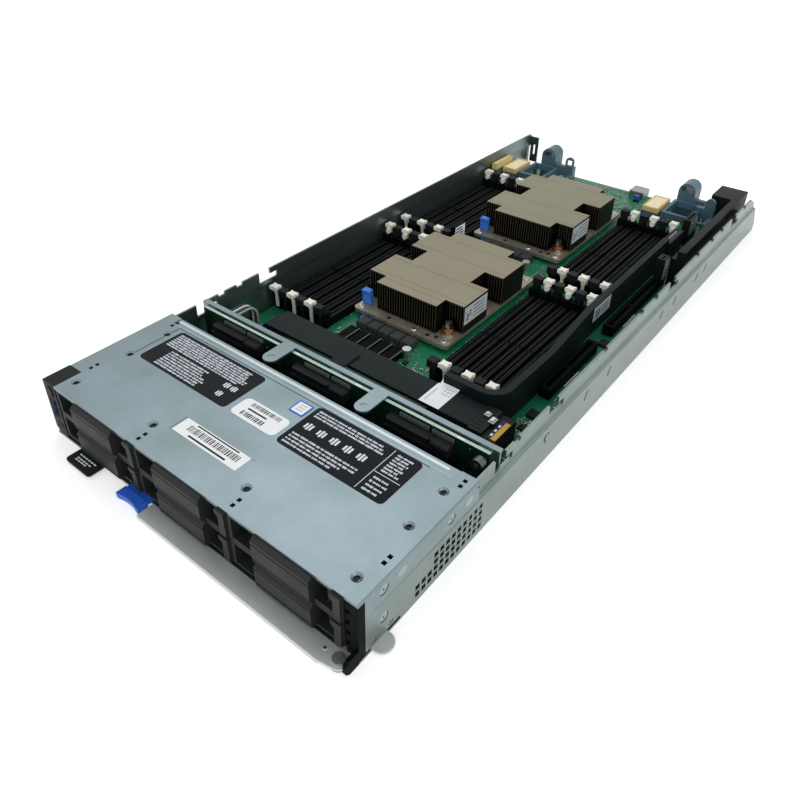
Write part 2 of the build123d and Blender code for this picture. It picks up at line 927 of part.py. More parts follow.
# Drive backplane: upright board, connectors for the drives, captive screw and top rail
with BuildPart() as backplane_board:
    block(
        -upper_inner + backplane_side_gap, upper_inner - backplane_side_gap,
        backplane_y, backplane_y + backplane_thickness, sheet, backplane_top,
    )
backplane_board.part.label = "backplane_board"
export_step(backplane_board.part, "parts/backplane_board.step")

with BuildPart() as backplane_rail:
    block(-upper_inner, upper_inner, rail_y, rail_y + rail_strip, rail_z, rail_z + sheet)
    block(-upper_inner, upper_inner, rail_y, rail_y + sheet, rail_flange_bottom, rail_z)
    with BuildSketch(Plane.XY.offset(rail_z)):
        for column in range(1, bay_columns):
            tongue_x = cage_left + cage_pitch * column + divider / 2
            with Locations((tongue_x, front + (tongue_front + rail_y) / 2)):
                Rectangle(tongue_width, rail_y - tongue_front)
            with Locations((tongue_x, front + tongue_front)):
                Circle(tongue_width / 2)
    extrude(amount=sheet)
    with BuildSketch(Plane.XY.offset(rail_z + sheet)):
        for column in range(1, bay_columns):
            tongue_x = cage_left + cage_pitch * column + divider / 2
            with Locations((tongue_x, front + tongue_front)):
                Circle(tongue_dimple_r)
    extrude(amount=-tongue_dimple, mode=Mode.SUBTRACT)
    rail_feet = (-upper_inner + backplane_side_gap, 0, upper_inner - backplane_side_gap - rail_foot)
    for foot_x in rail_feet:
        block(
            foot_x, foot_x + rail_foot, rail_y - rail_gap, rail_y, rail_flange_bottom, backplane_top,
        )
backplane_rail.part.label = "backplane_rail"
export_step(backplane_rail.part, "parts/backplane_rail.step")

with BuildPart() as drive_connectors:
    for column in range(bay_columns):
        connector_left = cage_left + cage_pitch * column + connector_offset
        for bay_z in (cage_base, upper_bay_z):
            shelf_z = bay_z + connector_lift
            block(
                connector_left, connector_left + connector_width,
                backplane_y - connector_length, backplane_y, shelf_z, shelf_z + connector_height,
            )
            block(
                connector_left, connector_left + connector_width - connector_power_width,
                backplane_y - connector_length, backplane_y - connector_length + connector_step,
                shelf_z + connector_step, shelf_z + connector_height, mode=Mode.SUBTRACT,
            )
drive_connectors.part.label = "drive_connectors"
export_step(drive_connectors.part, "parts/drive_connectors.step")

with BuildPart() as backplane_thumbscrew:
    with BuildSketch(across(backplane_y)):
        with Locations((thumb_x, thumb_z)):
            Circle(thumb_neck_r)
    extrude(amount=thumb_length)
    with BuildSketch(across(backplane_y - thumb_neck)):
        with Locations((thumb_x, thumb_z)):
            Circle(thumb_r)
    extrude(amount=thumb_length - thumb_neck)
backplane_thumbscrew.part.label = "backplane_thumbscrew"
export_step(backplane_thumbscrew.part, "parts/backplane_thumbscrew.step")

# System board on its standoffs
with BuildPart() as system_board:
    block(
        -lower_inner + board_side_gap, lower_inner - board_side_gap,
        board_front, board_rear, board_z, board_top,
    )
system_board.part.label = "system_board"
export_step(system_board.part, "parts/system_board.step")

with BuildPart() as board_standoffs:
    with BuildSketch(Plane.XY.offset(sheet)):
        with Locations((0, front + (board_front + board_rear) / 2)):
            with GridLocations(
                standoff_column_pitch, standoff_row_pitch, standoff_columns, standoff_rows
            ):
                RegularPolygon(standoff_r, hex_sides)
    extrude(amount=board_z - sheet)
board_standoffs.part.label = "board_standoffs"
export_step(board_standoffs.part, "parts/board_standoffs.step")


def make_sockets(row):
    """One bank row of memory sockets, both sides, each with a tower at either end."""
    start = row + latch_inset
    end = row + latch_span - latch_inset
    tower_top_z = board_top + tower_height
    with BuildPart() as sockets:
        for x in left_sockets + right_sockets:
            block(
                x - socket_width / 2, x + socket_width / 2, start, end,
                board_top, board_top + socket_height,
            )
            for tower_start in (start, end - tower_length):
                block(
                    x - tower_width / 2, x + tower_width / 2, tower_start,
                    tower_start + tower_length, board_top, tower_top_z,
                )
            stem_gap = stem_width / 2 + slip
            for slot_start in (start, end - tower_slot_depth):
                block(
                    x - stem_gap, x + stem_gap, slot_start, slot_start + tower_slot_depth,
                    board_top + stem_bottom - 3 * slip, tower_top_z, mode=Mode.SUBTRACT,
                )
            slot_low = board_top + socket_height - socket_slot_depth
            for first, last in (
                (start + tower_length, start + key_place),
                (start + key_place + key_length, end - tower_length),
            ):
                block(
                    x - socket_slot / 2, x + socket_slot / 2, first, last,
                    slot_low, board_top + socket_height, mode=Mode.SUBTRACT,
                )
    return sockets


def make_latches(row, outward, places, head_low, head_high):
    """T-shaped ejector latches at one end of the sockets; outward is -1 at the front end."""
    stem_mid = row - outward * stem_depth / 2
    with BuildPart() as latches:
        for x in places:
            block(
                x - stem_width / 2, x + stem_width / 2,
                stem_mid - stem_depth / 2, stem_mid + stem_depth / 2,
                board_top + stem_bottom, head_low,
            )
            block(
                x - head_width / 2, x + head_width / 2, row - head_depth / 2, row + head_depth / 2,
                head_low, head_high,
            )
    return latches


# Memory sockets, with pale and dark latches in turn
pale_places = left_sockets[0::2] + right_sockets[1::2]
dark_places = left_sockets[1::2] + right_sockets[0::2]
for bank, row in zip(("front", "rear"), bank_places):
    memory_sockets = make_sockets(row)
    sockets_name = f"memory_sockets_{bank}"
    memory_sockets.part.label = sockets_name
    export_step(memory_sockets.part, f"parts/{sockets_name}.step")
    for end, outward, latch_row in (("near", -1, row), ("far", 1, row + latch_span)):
        for shade, places, rise, height in (
            ("pale", pale_places, head_bottom, head_height),
            ("dark", dark_places, dark_head_bottom, dark_head_height),
        ):
            head_low = board_top + rise
            latch_set = make_latches(latch_row, outward, places, head_low, head_low + height)
            latch_name = f"{shade}_latches_{bank}_{end}"
            latch_set.part.label = latch_name
            export_step(latch_set.part, f"parts/{latch_name}.step")

# Processor sockets under the heat sinks
with BuildPart() as processor_sockets:
    for centre in sink_places:
        block(
            sink_x - cpu_width / 2, sink_x + cpu_width / 2,
            centre - cpu_length / 2, centre + cpu_length / 2, board_top, sink_base_z,
        )
processor_sockets.part.label = "processor_sockets"
export_step(processor_sockets.part, "parts/processor_sockets.step")


def make_sink_base(centre):
    """Cold plate of a heat sink."""
    with BuildPart() as base:
        with BuildSketch(Plane.XY.offset(sink_base_z)):
            with Locations((sink_x, front + centre)):
                RectangleRounded(sink_base_width, sink_base_length, sink_base_corner)
        extrude(amount=sink_base)
    return base


def make_fins(centre):
    """Folded fins under a joined top, with the corners and the middle of each side left open."""
    pitch = (fin_block_width - fin_thickness) / (fin_count - 1)
    gap = pitch - fin_thickness
    half_x = fin_block_width / 2
    half_y = fin_block_length / 2
    with BuildPart() as fins:
        block(
            sink_x - half_x, sink_x + half_x, centre - half_y, centre + half_y, fin_bottom, fin_top,
        )
        with BuildSketch(across(centre - half_y)):
            with Locations((sink_x, (fin_bottom + fin_top - fin_skin) / 2)):
                with GridLocations(pitch, 1, fin_count - 1, 1):
                    Rectangle(gap, fin_top - fin_skin - fin_bottom)
        extrude(amount=-fin_block_length, mode=Mode.SUBTRACT)
        with BuildSketch(Plane.XY.offset(fin_bottom)):
            with Locations((sink_x, front + centre)):
                corner_x = fin_block_width - fin_corner_x
                corner_y = fin_block_length - fin_corner_y
                with GridLocations(corner_x, corner_y, 2, 2):
                    Rectangle(fin_corner_x, fin_corner_y)
                with GridLocations(fin_block_width - fin_notch_x, 1, 2, 1):
                    Rectangle(fin_notch_x, fin_notch_y)
        extrude(amount=fin_top - fin_bottom, mode=Mode.SUBTRACT)
    return fins


def make_clip(centre):
    """Blue lever that locks one corner of a heat sink."""
    clip_left = sink_x + clip_x - clip_width / 2
    clip_front = front + centre + clip_y
    clip_low = fin_bottom + slip
    clip_high = fin_bottom + clip_height
    with BuildPart() as clip:
        with BuildSketch(Plane.YZ.offset(clip_left)):
            with BuildLine():
                Polyline(
                    (clip_front, clip_low),
                    (clip_front + clip_thickness, clip_low),
                    (clip_front + clip_thickness, clip_high),
                    (clip_front - clip_pad, clip_high),
                    (clip_front - clip_pad, clip_high - clip_pad),
                    (clip_front, clip_high - 3 * clip_pad),
                    close=True,
                )
            make_face()
        extrude(amount=clip_width)
        top_edges = clip.edges().filter_by(Axis.Y).group_by(Axis.Z)[-1]
        chamfer(top_edges, clip_nose)
    return clip


# Heat sinks over the two processors
for place, centre in zip(("front", "rear"), sink_places):
    sink_base_plate = make_sink_base(centre)
    sink_base_plate.part.label = f"heat_sink_base_{place}"
    export_step(sink_base_plate.part, f"parts/heat_sink_base_{place}.step")
    sink_fins = make_fins(centre)
    sink_fins.part.label = f"heat_sink_fins_{place}"
    export_step(sink_fins.part, f"parts/heat_sink_fins_{place}.step")
    sink_clip = make_clip(centre)
    sink_clip.part.label = f"heat_sink_clip_{place}"
    export_step(sink_clip.part, f"parts/heat_sink_clip_{place}.step")

# Screw posts on the cold plates, clear of the corner with the clip
with BuildPart() as heat_sink_posts:
    for centre in sink_places:
        for x, y in ((post_x, -post_y), (post_x, post_y), (-post_x, post_y)):
            with Locations((sink_x + x, front + centre + y, fin_bottom)):
                Cylinder(post_collar_r, post_collar, align=low)
                Cylinder(post_r, post_height, align=low)
heat_sink_posts.part.label = "heat_sink_posts"
export_step(heat_sink_posts.part, "parts/heat_sink_posts.step")

# Chokes and capacitors that feed the processors, and flat chips by the right wall
with BuildPart() as chokes:
    for centre in sink_places:
        choke_y = front + centre - sink_base_length / 2 - choke_gap
        with Locations((choke_x, choke_y, board_top)):
            with GridLocations(choke_pitch, choke_pitch, choke_count, 1):
                Box(choke, choke, choke_height, align=low)
    chamfer(chokes.edges().group_by(Axis.Z)[-1], choke_corner)
chokes.part.label = "chokes"
export_step(chokes.part, "parts/chokes.step")

with BuildPart() as capacitors:
    for centre in sink_places:
        cap_y = front + centre - sink_base_length / 2 - cap_gap
        with Locations((cap_x, cap_y, board_top)):
            with GridLocations(cap_pitch, cap_pitch, cap_count, 1):
                Cylinder(cap_r, cap_height, align=low)
capacitors.part.label = "capacitors"
export_step(capacitors.part, "parts/capacitors.step")

with BuildPart() as board_chips:
    for place in chip_places:
        with Locations((chip_x, front + place, board_top)):
            Box(chip_size / 2, chip_size / 2, chip_height, align=low)
board_chips.part.label = "board_chips"
export_step(board_chips.part, "parts/board_chips.step")

# Card slots along the right wall
with BuildPart() as card_slots:
    for start, length in (
        (slot_front_start, slot_front_length),
        (slot_rear_start, slot_rear_length),
    ):
        top = board_top + slot_height
        block(slot_x - slot_width / 2, slot_x + slot_width / 2, start, start + length, board_top, top)
        key = start + length * slot_key_place
        for first, last in (
            (start + slot_gap, key),
            (key + slot_key, start + length - slot_gap),
        ):
            block(
                slot_x - slot_gap / 2, slot_x + slot_gap / 2, first, last,
                top - slot_gap_depth, top, mode=Mode.SUBTRACT,
            )
card_slots.part.label = "card_slots"
export_step(card_slots.part, "parts/card_slots.step")

# Mezzanine connectors at the rear, each with a raised rim round its contacts
with BuildPart() as mezzanine_connectors:
    for x, y, width, length, top in (
        (mezzanine_left_x, mezzanine_y, mezzanine_width, mezzanine_length, mezzanine_top),
        (mezzanine_right_x, mezzanine_y, mezzanine_width, mezzanine_length, mezzanine_top),
        (wall_connector_x, wall_connector_y, wall_connector_width, wall_connector_length,
         wall_connector_top),
    ):
        block(x - width / 2, x + width / 2, y - length / 2, y + length / 2, board_top, top)
        block(
            x - width / 2 + mezzanine_rim, x + width / 2 - mezzanine_rim,
            y - length / 2 + mezzanine_rim, y + length / 2 - mezzanine_rim,
            top - mezzanine_rim_depth, top, mode=Mode.SUBTRACT,
        )
mezzanine_connectors.part.label = "mezzanine_connectors"
export_step(mezzanine_connectors.part, "parts/mezzanine_connectors.step")


def make_guide_frame(connector_x, tower_offset, post_offset, post_front, windowed):
    """Plastic guide beside a mezzanine connector: open frame on legs, round tower and a hooped post."""
    left = connector_x + mezzanine_width / 2 + frame_gap
    right = left + frame_width
    tower_x = left + tower_offset + tower_span / 2
    post_left = right + post_offset
    post_right = post_left + post_span
    post_mid = (post_left + post_right) / 2
    post_back = post_front + post_depth
    with BuildPart() as guide:
        block(left, right, frame_front, frame_back, frame_bottom, frame_top)
        block(
            left + frame_bar, right - frame_bar, frame_front + frame_bar, frame_back - frame_bar,
            frame_bottom, frame_top, mode=Mode.SUBTRACT,
        )
        for leg_x in (left, right - frame_bar):
            for leg_y in (frame_front, frame_back - frame_bar):
                block(leg_x, leg_x + frame_bar, leg_y, leg_y + frame_bar, board_top, frame_bottom)
        with BuildSketch(across(frame_back)):
            round_z = tower_top - tower_span / 2
            with Locations((tower_x, (board_top + round_z) / 2)):
                Rectangle(tower_span, round_z - board_top)
            with Locations((tower_x, round_z)):
                Circle(tower_span / 2)
            with Locations((tower_x, tower_window_z)):
                Rectangle(tower_window, tower_window_height, mode=Mode.SUBTRACT)
        extrude(amount=-(tower_back - frame_back))
        block(
            tower_x, right, frame_back, frame_back + beam_depth, frame_bottom, frame_top + beam_rise,
        )
        block(right - frame_bar, post_right, cell_front, cell_front + frame_bar, frame_bottom, cell_top)
        block(post_right - frame_bar, post_right, cell_front, post_front, frame_bottom, cell_top)
        block(post_right - frame_bar, post_right, cell_front, cell_front + frame_bar, board_top, cell_top)
        block(
            right - frame_bar, post_left, post_front, post_front + beam_depth,
            frame_bottom, frame_top + beam_rise,
        )
        block(post_left, post_right, post_front, post_back, board_top, post_shoulder)
        with BuildSketch(across(post_front)):
            hoop_z = post_top - post_span / 2
            with Locations((post_mid, (post_shoulder + hoop_z) / 2)):
                Rectangle(post_span, hoop_z - post_shoulder)
            with Locations((post_mid, hoop_z)):
                Circle(post_span / 2)
            if windowed:
                with Locations((post_mid, hoop_z - post_hoop / 2)):
                    Rectangle(post_window, post_window_height, mode=Mode.SUBTRACT)
        extrude(amount=-post_hoop)
    return guide


for side, connector_x, tower_offset, post_offset, post_front, windowed in (
    ("left", mezzanine_left_x, left_tower_offset, left_post_offset, left_post_front, True),
    ("right", mezzanine_right_x, right_tower_offset, right_post_offset, right_post_front, False),
):
    guide_frame = make_guide_frame(connector_x, tower_offset, post_offset, post_front, windowed)
    guide_frame.part.label = f"guide_frame_{side}"
    export_step(guide_frame.part, f"parts/guide_frame_{side}.step")

# Black shroud along the rear right corner, open underneath
with BuildPart() as rear_shroud:
    with BuildSketch(Plane.XY.offset(board_top)):
        with BuildLine():
            Polyline(
                (shroud_right - shroud_arm, front + shroud_front),
                (shroud_right, front + shroud_front),
                (shroud_right, front + shroud_rear),
                (shroud_right - shroud_head, front + shroud_rear),
                (shroud_right - shroud_head, front + shroud_head_front),
                (shroud_right - shroud_arm, front + shroud_head_front),
                close=True,
            )
        make_face()
    extrude(amount=shroud_top - board_top)
    block(
        shroud_right - shroud_arm + shroud_wall, shroud_right - shroud_wall,
        shroud_front + shroud_wall, shroud_rear - shroud_wall,
        board_top, shroud_top - shroud_wall, mode=Mode.SUBTRACT,
    )
    block(
        shroud_right - shroud_head + shroud_wall, shroud_right - shroud_wall,
        shroud_head_front + shroud_wall, shroud_rear - shroud_wall,
        board_top, shroud_top - shroud_wall, mode=Mode.SUBTRACT,
    )
    block(
        shroud_right, shroud_right + shroud_ledge, shroud_front, shroud_head_front,
        shroud_ledge_top - shroud_wall, shroud_ledge_top,
    )
    block(
        shroud_right - shroud_foot, shroud_right, shroud_front, shroud_front + shroud_foot_length,
        board_top, shroud_foot_top,
    )
rear_shroud.part.label = "rear_shroud"
export_step(rear_shroud.part, "parts/rear_shroud.step")

# Folded ribbon cable behind the backplane, with its plug
with BuildPart() as ribbon_cable:
    with BuildSketch(across(ribbon_y - ribbon_width / 2)):
        with BuildLine():
            ribbon_path = FilletPolyline(
                (ribbon_left, board_top),
                (ribbon_left, ribbon_top),
                (ribbon_right, ribbon_top),
                radius=ribbon_fold_r,
            )
            offset(ribbon_path, amount=ribbon, side=Side.RIGHT)
        make_face()
    extrude(amount=-ribbon_width)
ribbon_cable.part.label = "ribbon_cable"
export_step(ribbon_cable.part, "parts/ribbon_cable.step")

with BuildPart() as ribbon_plug:
    plug_front = ribbon_y - ribbon_width / 2 - plug_margin
    plug_back = ribbon_y + ribbon_width / 2 + plug_margin
    block(
        ribbon_right, ribbon_right + plug_length, plug_front, plug_back, board_top, ribbon_top,
    )
    block(
        ribbon_right + plug_length / 2, ribbon_right + plug_length, plug_front, plug_back,
        plug_top, ribbon_top, mode=Mode.SUBTRACT,
    )
ribbon_plug.part.label = "ribbon_plug"
export_step(ribbon_plug.part, "parts/ribbon_plug.step")

# Side cable on edge: out from under the ribbon, round the sockets and back along the right banks
with BuildPart() as side_cable:
    cable_low = board_top + side_cable_lift
    with BuildSketch(Plane.XY.offset(cable_low)):
        with BuildLine():
            side_path = FilletPolyline(
                (side_cable_start_x, front + side_cable_front),
                (side_cable_corner_x, front + side_cable_front),
                (side_cable_swell_x, front + side_cable_swell),
                (side_cable_x, front + side_cable_straight),
                (side_cable_x, front + side_cable_end),
                radius=side_cable_bend,
            )
            offset(side_path, amount=side_cable_thickness, side=Side.RIGHT)
        make_face()
    extrude(amount=side_cable_height)
    block(
        side_cable_start_x, side_cable_start_x + side_cable_thickness,
        side_cable_start, side_cable_front, cable_low, cable_low + side_cable_low_height,
    )
side_cable.part.label = "side_cable"
export_step(side_cable.part, "parts/side_cable.step")

with BuildPart() as side_cable_plug:
    block(
        side_cable_x - side_plug_margin, side_cable_x + side_cable_thickness + side_plug_margin,
        side_cable_end, side_cable_end + side_plug_length,
        board_top, board_top + side_plug_height,
    )
side_cable_plug.part.label = "side_cable_plug"
export_step(side_cable_plug.part, "parts/side_cable_plug.step")

# Upright connector blocks, each with a slot along its top
with BuildPart() as connector_blocks:
    for x, width, start, length, top in (
        (inner_block_x, inner_block_width, inner_block_front, inner_block_length, inner_block_top),
        (outer_block_x, outer_block_width, outer_block_front, outer_block_length, outer_block_top),
    ):
        block(x - width / 2, x + width / 2, start, start + length, board_top, top)
        block(
            x - block_slot / 2, x + block_slot / 2, start + block_slot, start + length - block_slot,
            top - block_slot_depth, top, mode=Mode.SUBTRACT,
        )
connector_blocks.part.label = "connector_blocks"
export_step(connector_blocks.part, "parts/connector_blocks.step")

# Control panel wires: plug on the rail, header on the board and the wires between them
wire_front = rail_y + sheet
header_top = board_top + wire_header_height
with BuildPart() as wire_plugs:
    block(
        wire_x - wire_plug_width / 2, wire_x + wire_plug_width / 2,
        wire_front, wire_front + wire_plug_depth,
        wire_top - wire_plug_height / 2, wire_top + wire_plug_height / 2,
    )
    block(
        wire_x - wire_plug_width / 2, wire_x + wire_plug_width / 2,
        wire_reach - wire_plug_depth / 2, wire_reach + wire_plug_depth / 2,
        board_top, header_top,
    )
wire_plugs.part.label = "wire_plugs"
export_step(wire_plugs.part, "parts/wire_plugs.step")

with BuildPart() as panel_wires:
    for wire in range(wire_count):
        x = wire_x + wire_pitch * (wire - (wire_count - 1) / 2)
        with BuildLine():
            wire_path = FilletPolyline(
                (x, front + wire_front + wire_plug_depth, wire_top),
                (x, front + wire_reach, wire_top),
                (x, front + wire_reach, header_top),
                radius=wire_bend,
            )
        with BuildSketch(Plane(wire_path @ 0, z_dir=wire_path % 0)):
            RegularPolygon(wire_r, hex_sides)
        sweep()
panel_wires.part.label = "panel_wires"
export_step(panel_wires.part, "parts/panel_wires.step")

# Port shell at the rear edge of the board
with BuildPart() as rear_port:
    block(
        rear_port_x - rear_port_width / 2, rear_port_x + rear_port_width / 2,
        rear_port_front, rear_port_front + rear_port_length,
        board_top, board_top + rear_port_height,
    )
    block(
        rear_port_x - rear_port_width / 2 + rear_port_wall,
        rear_port_x + rear_port_width / 2 - rear_port_wall,
        rear_port_front + rear_port_wall, rear_port_front + rear_port_length,
        board_top + rear_port_wall, board_top + rear_port_height - rear_port_wall,
        mode=Mode.SUBTRACT,
    )
rear_port.part.label = "rear_port"
export_step(rear_port.part, "parts/rear_port.step")
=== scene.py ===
"""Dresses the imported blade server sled: finishes for its solids, small parts, labels, light and camera."""

from __future__ import annotations

import json
import logging
import math
import random
from dataclasses import dataclass, field
from enum import Enum
from typing import Any, Iterable

import bmesh
import bpy
from mathutils import Matrix, Vector

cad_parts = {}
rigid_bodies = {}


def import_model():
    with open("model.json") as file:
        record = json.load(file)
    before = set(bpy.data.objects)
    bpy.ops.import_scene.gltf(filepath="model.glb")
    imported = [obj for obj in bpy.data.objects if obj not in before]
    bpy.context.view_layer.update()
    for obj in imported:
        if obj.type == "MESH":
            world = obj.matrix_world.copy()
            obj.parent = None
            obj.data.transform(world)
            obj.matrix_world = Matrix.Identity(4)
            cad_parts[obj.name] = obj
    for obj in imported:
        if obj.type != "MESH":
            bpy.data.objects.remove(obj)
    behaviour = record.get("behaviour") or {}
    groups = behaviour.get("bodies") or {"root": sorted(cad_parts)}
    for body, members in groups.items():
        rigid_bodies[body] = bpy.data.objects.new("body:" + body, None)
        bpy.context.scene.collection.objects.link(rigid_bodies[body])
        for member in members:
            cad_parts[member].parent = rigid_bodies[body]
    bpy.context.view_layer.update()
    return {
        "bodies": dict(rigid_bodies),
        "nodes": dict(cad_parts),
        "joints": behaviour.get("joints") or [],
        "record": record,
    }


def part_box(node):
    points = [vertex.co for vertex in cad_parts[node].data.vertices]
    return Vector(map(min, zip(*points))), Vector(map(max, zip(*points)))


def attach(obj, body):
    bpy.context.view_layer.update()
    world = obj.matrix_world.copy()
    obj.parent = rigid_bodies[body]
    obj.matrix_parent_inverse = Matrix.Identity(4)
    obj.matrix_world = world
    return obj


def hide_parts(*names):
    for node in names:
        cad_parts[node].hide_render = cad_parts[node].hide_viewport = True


LOG = logging.getLogger("sled")
MM = 0.001
FRONT = -291.0
SLED = "sled"
Span = tuple[float, float, float, float]


class Along(Enum):
    """Axis that a round part or a row runs along."""

    X = 0
    Y = 1
    Z = 2

    def turn(self) -> Matrix:
        """Rotation that takes the Z axis to this one.

        Returns:
            The rotation.
        """
        if self is Along.X:
            return Matrix.Rotation(math.pi / 2, 4, "Y")
        if self is Along.Y:
            return Matrix.Rotation(-math.pi / 2, 4, "X")
        return Matrix.Identity(4)


def at(x: float, y: float, z: float) -> Vector:
    """Point in metres from millimetres, with y counted from the front edge of the cover.

    Args:
        x: Distance to the right of the middle.
        y: Distance behind the front edge.
        z: Height over the underside.

    Returns:
        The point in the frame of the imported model.
    """
    return Vector((x, FRONT + y, z)) * MM


def linear(code: str) -> tuple[float, float, float, float]:
    """Linear colour from an sRGB hex value.

    Args:
        code: Six hex digits after a hash.

    Returns:
        Red, green, blue and an alpha of one.
    """
    parts = [int(code[i:i + 2], 16) / 255 for i in (1, 3, 5)]
    parts = [p / 12.92 if p <= 0.04045 else ((p + 0.055) / 1.055) ** 2.4 for p in parts]
    return (parts[0], parts[1], parts[2], 1.0)


def add(
    tree: bpy.types.NodeTree,
    kind: str,
    settings: dict[str, Any] | None = None,
    links: dict[Any, Any] | None = None,
) -> bpy.types.Node:
    """Adds one shader node.

    Args:
        tree: Node tree of the material.
        kind: Blender's name of the node type.
        settings: Attributes to set on the node.
        links: Input sockets, each with a socket to link from or a value.

    Returns:
        The new node.
    """
    node = tree.nodes.new(kind)
    for key, value in (settings or {}).items():
        setattr(node, key, value)
    for key, source in (links or {}).items():
        if isinstance(source, bpy.types.NodeSocket):
            tree.links.new(source, node.inputs[key])
        else:
            node.inputs[key].default_value = source
    return node


def per_mm(size: float) -> float:
    """Texture scale that repeats about once in a size in millimetres."""
    return 1.0 / (size * MM)


@dataclass(frozen=True)
class Finish:
    """Base of every finish: a named material with one principled shader."""

    name: str

    def make(self) -> bpy.types.Material:
        """Builds the material, or returns it if it is already there.

        Returns:
            The finished material.
        """
        found = bpy.data.materials.get(self.name)
        if found is not None:
            return found
        material = bpy.data.materials.new(self.name)
        material.use_nodes = True
        tree = material.node_tree
        shader = tree.nodes["Principled BSDF"]
        place = add(tree, "ShaderNodeTexCoord").outputs["Object"]
        self.paint(tree, shader, place)
        return material

    def paint(self, tree: bpy.types.NodeTree, shader: bpy.types.Node, place: Any) -> None:
        """Links the finish's pattern to the shader.

        Args:
            tree: Node tree of the material.
            shader: Its principled shader.
            place: Object coordinates in metres.
        """
        raise NotImplementedError


@dataclass(frozen=True)
class ZincSheet(Finish):
    """Zinc-plated sheet steel: a calm cool grey, clouded by handling, with faint rolling streaks."""

    pale: str = "#83929A"
    deep: str = "#6B7A7A"
    cloud: float = 48.0
    streak: float = 1.2
    metallic: float = 0.9
    rough_low: float = 0.27
    rough_high: float = 0.38

    def paint(self, tree: bpy.types.NodeTree, shader: bpy.types.Node, place: Any) -> None:
        """Clouds in the colour, streaks in the roughness and in a shallow bump.

        Args:
            tree: Node tree of the material.
            shader: Its principled shader.
            place: Object coordinates in metres.
        """
        cloud = add(
            tree, "ShaderNodeTexNoise", None,
            {"Vector": place, "Scale": per_mm(self.cloud), "Detail": 6.0, "Roughness": 0.62},
        )
        mottle = add(tree, "ShaderNodeMapRange", None, {0: cloud.outputs["Fac"], 1: 0.2, 2: 0.74})
        colour = add(
            tree, "ShaderNodeMix", {"data_type": "RGBA"},
            {0: mottle.outputs[0], 6: linear(self.deep), 7: linear(self.pale)},
        )
        stretch = add(tree, "ShaderNodeMapping", None, {"Vector": place, "Scale": (1.0, 0.06, 1.0)})
        lines = add(
            tree, "ShaderNodeTexNoise", None,
            {"Vector": stretch.outputs[0], "Scale": per_mm(self.streak), "Detail": 4.0},
        )
        rough = add(
            tree, "ShaderNodeMapRange", None,
            {0: lines.outputs["Fac"], 3: self.rough_low, 4: self.rough_high},
        )
        bump = add(
            tree, "ShaderNodeBump", None,
            {"Height": lines.outputs["Fac"], "Strength": 0.03, "Distance": 0.1 * MM},
        )
        tree.links.new(colour.outputs[2], shader.inputs["Base Color"])
        tree.links.new(rough.outputs[0], shader.inputs["Roughness"])
        tree.links.new(bump.outputs[0], shader.inputs["Normal"])
        shader.inputs["Metallic"].default_value = self.metallic


@dataclass(frozen=True)
class MouldedPlastic(Finish):
    """Moulded plastic: even colour, a fine spark-eroded grain and slightly shinier rubbed places."""

    colour: str
    rubbed: str
    rough_low: float = 0.42
    rough_high: float = 0.62
    wear: float = 22.0
    grain: float = 0.7
    depth: float = 0.12
    shine: float = 0.3

    def paint(self, tree: bpy.types.NodeTree, shader: bpy.types.Node, place: Any) -> None:
        """Grain in the bump, rubbed places in colour and roughness.

        Args:
            tree: Node tree of the material.
            shader: Its principled shader.
            place: Object coordinates in metres.
        """
        cloud = add(
            tree, "ShaderNodeTexNoise", None,
            {"Vector": place, "Scale": per_mm(self.wear), "Detail": 4.0, "Roughness": 0.6},
        )
        grain = add(
            tree, "ShaderNodeTexNoise", None,
            {"Vector": place, "Scale": per_mm(self.grain), "Detail": 2.0},
        )
        colour = add(
            tree, "ShaderNodeMix", {"data_type": "RGBA"},
            {0: cloud.outputs["Fac"], 6: linear(self.colour), 7: linear(self.rubbed)},
        )
        rough = add(
            tree, "ShaderNodeMapRange", None,
            {0: cloud.outputs["Fac"], 3: self.rough_high, 4: self.rough_low},
        )
        bump = add(
            tree, "ShaderNodeBump", None,
            {"Height": grain.outputs["Fac"], "Strength": self.depth, "Distance": 0.2 * MM},
        )
        tree.links.new(colour.outputs[2], shader.inputs["Base Color"])
        tree.links.new(rough.outputs[0], shader.inputs["Roughness"])
        tree.links.new(bump.outputs[0], shader.inputs["Normal"])
        shader.inputs["Specular IOR Level"].default_value = self.shine


